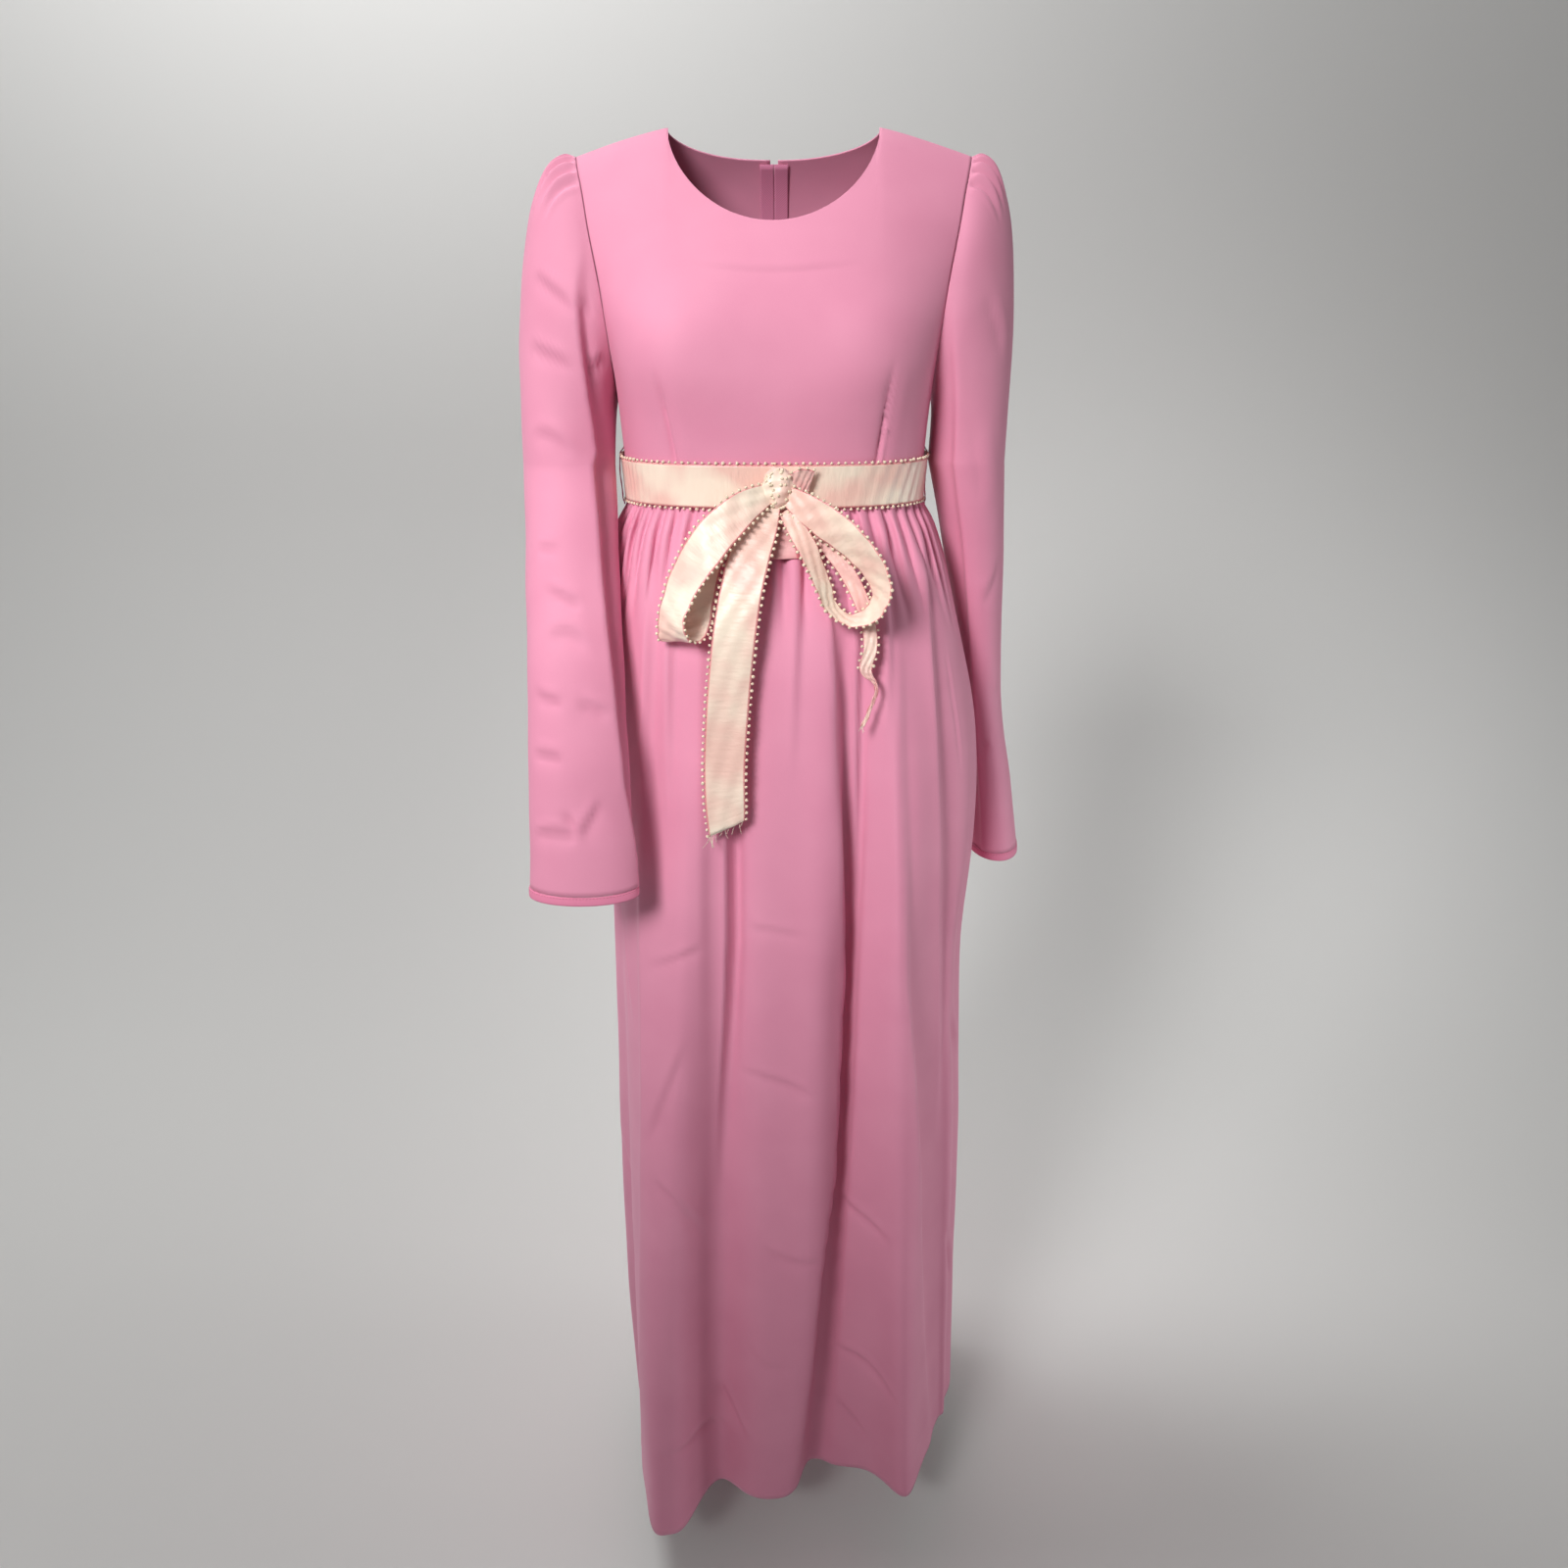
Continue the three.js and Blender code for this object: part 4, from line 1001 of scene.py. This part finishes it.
SLEEVE_CREASES = {
    "left": [
        ([(119, 1.69), (104, 1.695), (88, 1.7)], 4, 2.0),
        ([(78, 0.35), (65, 0.51), (53, 0.65)], 8, 1.2),
        ([(106, 0.69), (88, 0.975), (86, 1.1)], 9, 1.2),
        ([(40, 1.2), (70, 1.3), (95, 1.32)], 7, 1.2),
        ([(30, 1.5), (60, 1.56), (90, 1.5)], 7, 1.0),
        ([(250, 1.15), (290, 1.2), (330, 1.17)], 7, 1.4),
        ([(240, 1.4), (280, 1.48), (320, 1.42)], 7, 1.6),
        ([(260, 1.7), (290, 1.76), (340, 1.74)], 6, 1.4),
        ([(270, 0.5), (290, 0.6), (320, 0.62)], 8, 1.4),
    ],
    "right": [
        ([(96, 0.29), (101, 0.2), (104, 0.09)], 4, 1.4),
        ([(111, 0.48), (127, 0.28), (133, 0.05)], 5, 1.8),
        ([(38, 0.45), (72, 0.38), (95, 0.29)], 5, 1.8),
        ([(39, 0.63), (76, 0.58), (104, 0.5)], 5, 2.0),
        ([(56, 1.27), (86, 1.29), (110, 1.31)], 4.5, 2.0),
        ([(48, 1.19), (70, 1.18), (86, 1.18)], 4, 1.4),
        ([(95, 1.52), (115, 1.54), (138, 1.56)], 4.5, 2.0),
        ([(34, 1.51), (63, 1.52), (81, 1.524)], 4.5, 1.8),
        ([(29, 1.654), (60, 1.65), (79, 1.657)], 4.5, 1.8),
        ([(24, 1.85), (66, 1.83), (91, 1.85)], 4, 2.2),
        ([(91, 1.85), (107, 1.8), (123, 1.745)], 4.5, 2.2),
        ([(77, 1.776), (84, 1.807), (91, 1.841)], 4, 2.0),
        ([(50, 0.9), (80, 0.86), (105, 0.95)], 6, 1.4),
        ([(60, 1.4), (90, 1.37), (112, 1.42)], 6, 1.4),
        ([(250, 1.1), (290, 1.16), (330, 1.12)], 7, 1.6),
        ([(240, 1.4), (280, 1.46), (320, 1.42)], 7, 1.6),
        ([(260, 1.66), (290, 1.72), (340, 1.7)], 6, 1.6),
        ([(270, 0.5), (290, 0.6), (320, 0.62)], 8, 1.4),
    ],
}
# millimetres round the arm to a degree
ROUND_ARM = 0.8
# the line down each front where the cloth turns inwards: b, ridge's angle, height, valley; lengths
SLEEVE_FOLDS = {
    "left": [
        ([(0.1, 112, 0, 0), (0.3, 114, 2, 3), (0.83, 115, 3, 4), (1.17, 115, 3, 4),
          (1.41, 121, 3, 4), (1.67, 122, 3, 3), (2, 124, 1, 1)], 1, 14, 7, 22),
    ],
    "right": [
        ([(0.03, 76, 0, 0), (0.15, 86, 2, 2), (0.29, 96, 5, 5), (0.49, 112, 6, 7),
          (0.66, 122, 6, 8), (0.87, 128, 7, 9), (1.0, 125, 6, 9), (1.28, 131, 6, 8),
          (1.51, 140, 6, 7), (1.73, 148, 5, 6), (1.91, 170, 3, 3), (2, 176, 1, 1)], 1, 14, 7, 24),
    ],
}
round_arm = np.concatenate(
    [np.linspace(-CAP_REACH, CAP_REACH, 145), np.linspace(CAP_REACH, 360 - CAP_REACH, 61)[1:]]
)
for name, side, rings, shoulder, rise in (
    ("left", 1, LEFT_SLEEVE, 172, 34),
    ("right", -1, RIGHT_SLEEVE, 190, 30),
):
    surface = sleeve(side, rings, shoulder, rise)
    length = rings[-1][0] - rings[0][0]
    hem = 2 - CUFF_HIGH / length
    arm_rows = np.linspace(1, hem - SEAM / length, 76)[1:]
    rows = np.concatenate([np.linspace(0, 1, 60) ** 1.2, arm_rows])
    a, b = np.broadcast_arrays(round_arm[None], rows[:, None])
    folds = [
        ([(where, ROUND_ARM * angle, *rest) for where, angle, *rest in places], *lengths)
        for places, *lengths in SLEEVE_FOLDS[name]
    ]
    creases = SLEEVE_CREASES[name]
    points = draped(surface, a, b, -side, creases, 21 + side, 80, 0.5, folds, ROUND_ARM * a)
    piece = lay(f"sleeve_{name}_cloth", points, PINK, facing=-side, closed=True)
    place(piece, "crepe", f"sleeve_{name}")
    a, b = np.broadcast_arrays(round_arm[None], np.linspace(hem, 2, 7)[:, None])
    plump = 0.3 + 0.35 * np.sin(np.pi * np.linspace(0, 1, 7))[:, None]
    points = lifted(surface, a, b, -side, plump)
    cuff = lay(f"cuff_hem_{name}_cloth", points, HEM_PINK, facing=-side, closed=True, thick=1.8)
    place(cuff, "crepe", f"cuff_hem_{name}")
    # the hem is caught down by a row of stitches just under its fold
    a, b = np.broadcast_arrays(np.linspace(0, 360, 121), mix(hem, 2, 0.2))
    row = lifted(surface, a, b, -side, HEM_STITCH_OUT)
    stitching = stitches(f"cuff_stitches_{name}", row, HEM_STITCH_STEP, HEM_THREAD)
    place(stitching, "thread")

# ---------------------------------------------------------------- belt and bow

PICOT_STEP, PICOT_RADIUS, PICOT_OUT = 6.2, 1.6, 1.3
round_belt = np.linspace(0, 360, 361)
a, b = np.broadcast_arrays(round_belt[None], np.linspace(BELT_TOP, BELT_FOOT, 15)[:, None])
turned = np.where(a > 180, a - 360, a)
wrinkle = 0.5 * np.sin(turned * 1.9 + 0.05 * b) * bump(turned + 62, 20)
wrinkle = wrinkle + 0.6 * np.sin(turned * 1.1 + 0.14 * b) * bump(turned - 48, 18)
wrinkle = wrinkle + 0.35 * np.sin(turned * 0.7 + 0.2 * b) * smooth(90, 110, np.abs(turned))
points = lifted(torso, a, b, 1, BELT_OUT + wrinkle - 0.2)
along_belt = points.transpose(1, 0, 2)
belt = lay("belt_band_ribbon", along_belt, RIBBON, -1, closed=True, thick=SATIN, width=38)
place(belt, "ribbon", "belt_band")
edges = {"belt": [points[0], points[-1]]}
middles = {"belt": points[7]}

crumple = random.Random(7)
pinker = {"bow_fold": BLUSH, "bow_tail_narrow": BLUSH, "bow_end_short": FLAP}
for name, stations in BOW.items():
    surface = ribbon(stations)
    last = len(stations) - 1
    a, b = np.linspace(-0.5, 0.5, 19)[None], np.linspace(0, last, last * 14 + 1)[:, None]
    a, b = np.broadcast_arrays(a, b)
    ends = smooth(0, 0.6, b)
    wave = 0.7 * np.sin(b * 4.1 + a * 5) * np.sin(a * 9 + b * 1.3)
    wave = wave + 0.35 * np.sin(b * 9.3 - a * 7)
    points = lifted(surface, a, b, 1, wave * ends + SATIN / 2)
    piece = lay(f"{name}_ribbon", points, pinker.get(name, RIBBON), thick=SATIN, width=38)
    place(piece, "ribbon", name)
    edges[name] = [points[:, 0], points[:, -1]]
    middles[name] = points[:, 9]

for name, both in edges.items():
    found = []
    for line in both:
        if name == "bow_tail_narrow":
            line = line[: len(line) * 6 // 10]
        run = run_of(line)
        stops = np.linspace(1, run[-1] - 1, max(int(run[-1] / PICOT_STEP), 2))
        spots = stops_on(line, run, stops)
        away = spots - stops_on(middles[name][: len(line)], run, stops)
        away /= np.linalg.norm(away, axis=-1, keepdims=True)
        found.extend(spots + away * PICOT_OUT)
    place(beads(f"{name}_picots", found, PICOT, PICOT_RADIUS), "ribbon")

# torn warp threads hang from the cut ends of the two tails
for name, count, long in (("bow_tail_long", 15, 13), ("bow_tail_narrow", 5, 8)):
    surface, last = ribbon(BOW[name]), len(BOW[name]) - 1
    ends = []
    for k in range(count):
        a = -0.5 + crumple.random() ** 1.5
        start = surface(np.array(a), np.array(float(last)))
        reach = long * crumple.uniform(0.4, 1)
        away = Vector((crumple.uniform(-0.5, 0.4), crumple.uniform(-0.35, 0.1), -1)).normalized()
        curl = [crumple.uniform(*span) for span in ((-1, 1), (-0.6, 0.2), (-0.4, 0.6))]
        t = np.linspace(0, 1, 8)[:, None]
        path = start + np.array(away) * reach * t + np.array(curl) * reach * 0.4 * t * t
        ends.append(strand(f"{name}_fray_{k}", path, 0.2, FRAY, 4))
    join(f"{name}_frayed_end", ends)
    place(ends[0], "ribbon")

# the knot: ribbon gathered round itself, with its picots crowded together
a, b = np.broadcast_arrays(np.linspace(0, 360, 73)[None], np.linspace(-88, 88, 41)[:, None])
s, c = np.radians(a), np.radians(b)
ridge = 1 + 0.07 * np.sin(5 * s + 2.4 * c) + 0.05 * np.sin(11 * c + 2 * s)
points = np.stack(
    [
        KNOT.x + KNOT_HALF * ridge * np.cos(c) * np.sin(s),
        KNOT.y - KNOT_DEEP * ridge * np.cos(c) * np.cos(s),
        KNOT.z - KNOT_TALL * np.sin(c),
    ],
    -1,
)
knot = lay("bow_knot_ribbon", points, RIBBON, closed=True, thick=0.8, width=30)
place(knot, "ribbon", "bow_knot")
crowd = []
for _ in range(46):
    i, j = crumple.randrange(6, 35), crumple.choice([*range(0, 15), *range(58, 72)])
    crowd.append(points[i, j])
place(beads("bow_knot_picots", crowd, PICOT, PICOT_RADIUS), "ribbon")

# ---------------------------------------------------------------- thread loops and zip

for name, angle in (("left", 90), ("right", -90)):
    drops = np.array([271, 273, 275, 277, 284, 290, 298, 304.5, 312, 319, 321, 323, 325.0])
    over = smooth(271, 277, drops) * (1 - smooth(319, 325, drops))
    path = dress(np.full_like(drops, angle), drops)
    # the right loop is slack and stands a little further off the ribbon
    slack = 0 if angle > 0 else 3.5 * bump(drops - 298, 20)
    path[:, 0] += math.copysign(1, angle) * (0.7 + mix(0.3, BELT_OUT + 0.3, over) + slack)
    path = stops_on(path, np.arange(len(path)), np.linspace(0, len(path) - 1, 49))
    loop = strand(f"belt_loop_{name}_thread", path, 0.62, PINK_THREAD, 8, 0.5)
    place(loop, "thread", f"belt_loop_{name}")

# two woven tapes meet behind the gap between the backs, and the nylon coil runs where they meet
ZIP_BEHIND, TAPE_THICK, TAPE_TOP, TAPE_SPARE = -1.7, 0.8, 24, 24
COIL_HALF, COIL_PITCH, COIL_TOP, COIL_THREAD = 1.7, 1.7, 30, 0.42
ZIP_STITCH_ASIDE, ZIP_STITCH_OUT, ZIP_STITCH_STEP = 2.6, 0.12, 3.3
tape_drops = np.concatenate([np.linspace(TAPE_TOP, ZIP_FOOT, 120), [ZIP_FOOT + TAPE_SPARE]])
half = at(TORSO, tape_drops, np.sqrt)[1]
for name, side in (("left", 1), ("right", -1)):
    out = np.linspace(0.05, ZIP_TAPE, 9)[None] / half[:, None]
    a, b = np.broadcast_arrays(180 - side * np.degrees(out), tape_drops[:, None])
    points = lifted(dress, a, b, 1, ZIP_BEHIND)
    tape = lay(f"zip_tape_{name}_twill", points, TAPE, facing=-side, thick=TAPE_THICK)
    place(tape, "zip_tape", "zip_tape")
    row_a = 180 - side * np.degrees((ZIP_GAP + ZIP_STITCH_ASIDE) / half)
    row = lifted(dress, row_a, tape_drops, 1, ZIP_STITCH_OUT)
    place(stitches(f"zip_stitches_{name}", row, ZIP_STITCH_STEP, PINK_THREAD), "thread")
turns = np.arange(0, (ZIP_FOOT - COIL_TOP) / COIL_PITCH, 0.125)
coil_drop = COIL_TOP + turns * COIL_PITCH
swing = np.cos(2 * np.pi * turns) * COIL_HALF
lift = ZIP_BEHIND + 0.5 + 0.45 * np.sin(2 * np.pi * turns)
coil_angle = 180 + np.degrees(swing / at(TORSO, coil_drop, np.sqrt)[1])
path = lifted(dress, coil_angle, coil_drop, 1, lift)
place(strand("zip_coil", path, COIL_THREAD, COIL, 5), "zip_tape")

for metal in ("zip_slider", "zip_pull_tab"):
    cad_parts[metal].data.materials[0] = METAL

# ---------------------------------------------------------------- studio

# a paper sweep in metres: flat floor, a quarter bend behind the dress, then straight up
SWEEP_WIDE, SWEEP_LONG, FLOOR, BEND_Y, BEND_RADIUS = 12, 9.0, -1.468, 0.8, 1.02
BEND_FROM, BEND_TO = 3.6, 5.2
bm = bmesh.new()
bmesh.ops.create_grid(bm, x_segments=2, y_segments=60, size=0.5)
for vertex in bm.verts:
    x, run = vertex.co.x * SWEEP_WIDE, (vertex.co.y + 0.5) * SWEEP_LONG
    turn = min(max((run - BEND_FROM) / (BEND_TO - BEND_FROM), 0), 1) * math.pi / 2
    y = BEND_Y + math.sin(turn) * BEND_RADIUS + min(run - BEND_FROM, 0)
    z = FLOOR + (1 - math.cos(turn)) * BEND_RADIUS + max(run - BEND_TO, 0)
    vertex.co = (x, y, z)
material, tree, shader = new_material("pale_paper_backdrop")
fill(tree, shader, {"Base Color": linear("#e6e6e4"), "Roughness": 0.9})
sweep = keep("studio_sweep", bm, material)


def area_light(name, where, target, size, power, spread=180):
    data = bpy.data.lights.new(name, "AREA")
    data.shape = "DISK"
    data.size = size
    data.energy = power
    data.spread = math.radians(spread)
    light = bpy.data.objects.new(name, data)
    light.location = where
    light.rotation_euler = (Vector(target) - Vector(where)).to_track_quat("-Z", "Y").to_euler()
    bpy.context.scene.collection.objects.link(light)


area_light("key", (-1.0, -2.0, 0.8), (0, -0.12, -0.35), 0.9, 4.0, 40)
area_light("side_fill", (2.0, 0.0, -0.75), (0.15, 0, -0.8), 0.9, 1.7, 60)
area_light("backdrop_wash", (-0.9, 0.3, 1.9), (-0.6, 1.8, 0.3), 1.2, 48)
world = bpy.data.worlds.new("studio")
bpy.context.scene.world = world
world.use_nodes = True
sky = world.node_tree.nodes["Background"]
fill(world.node_tree, sky, {"Color": linear("#ffffff"), "Strength": 0.19})

bpy.context.view_layer.update()
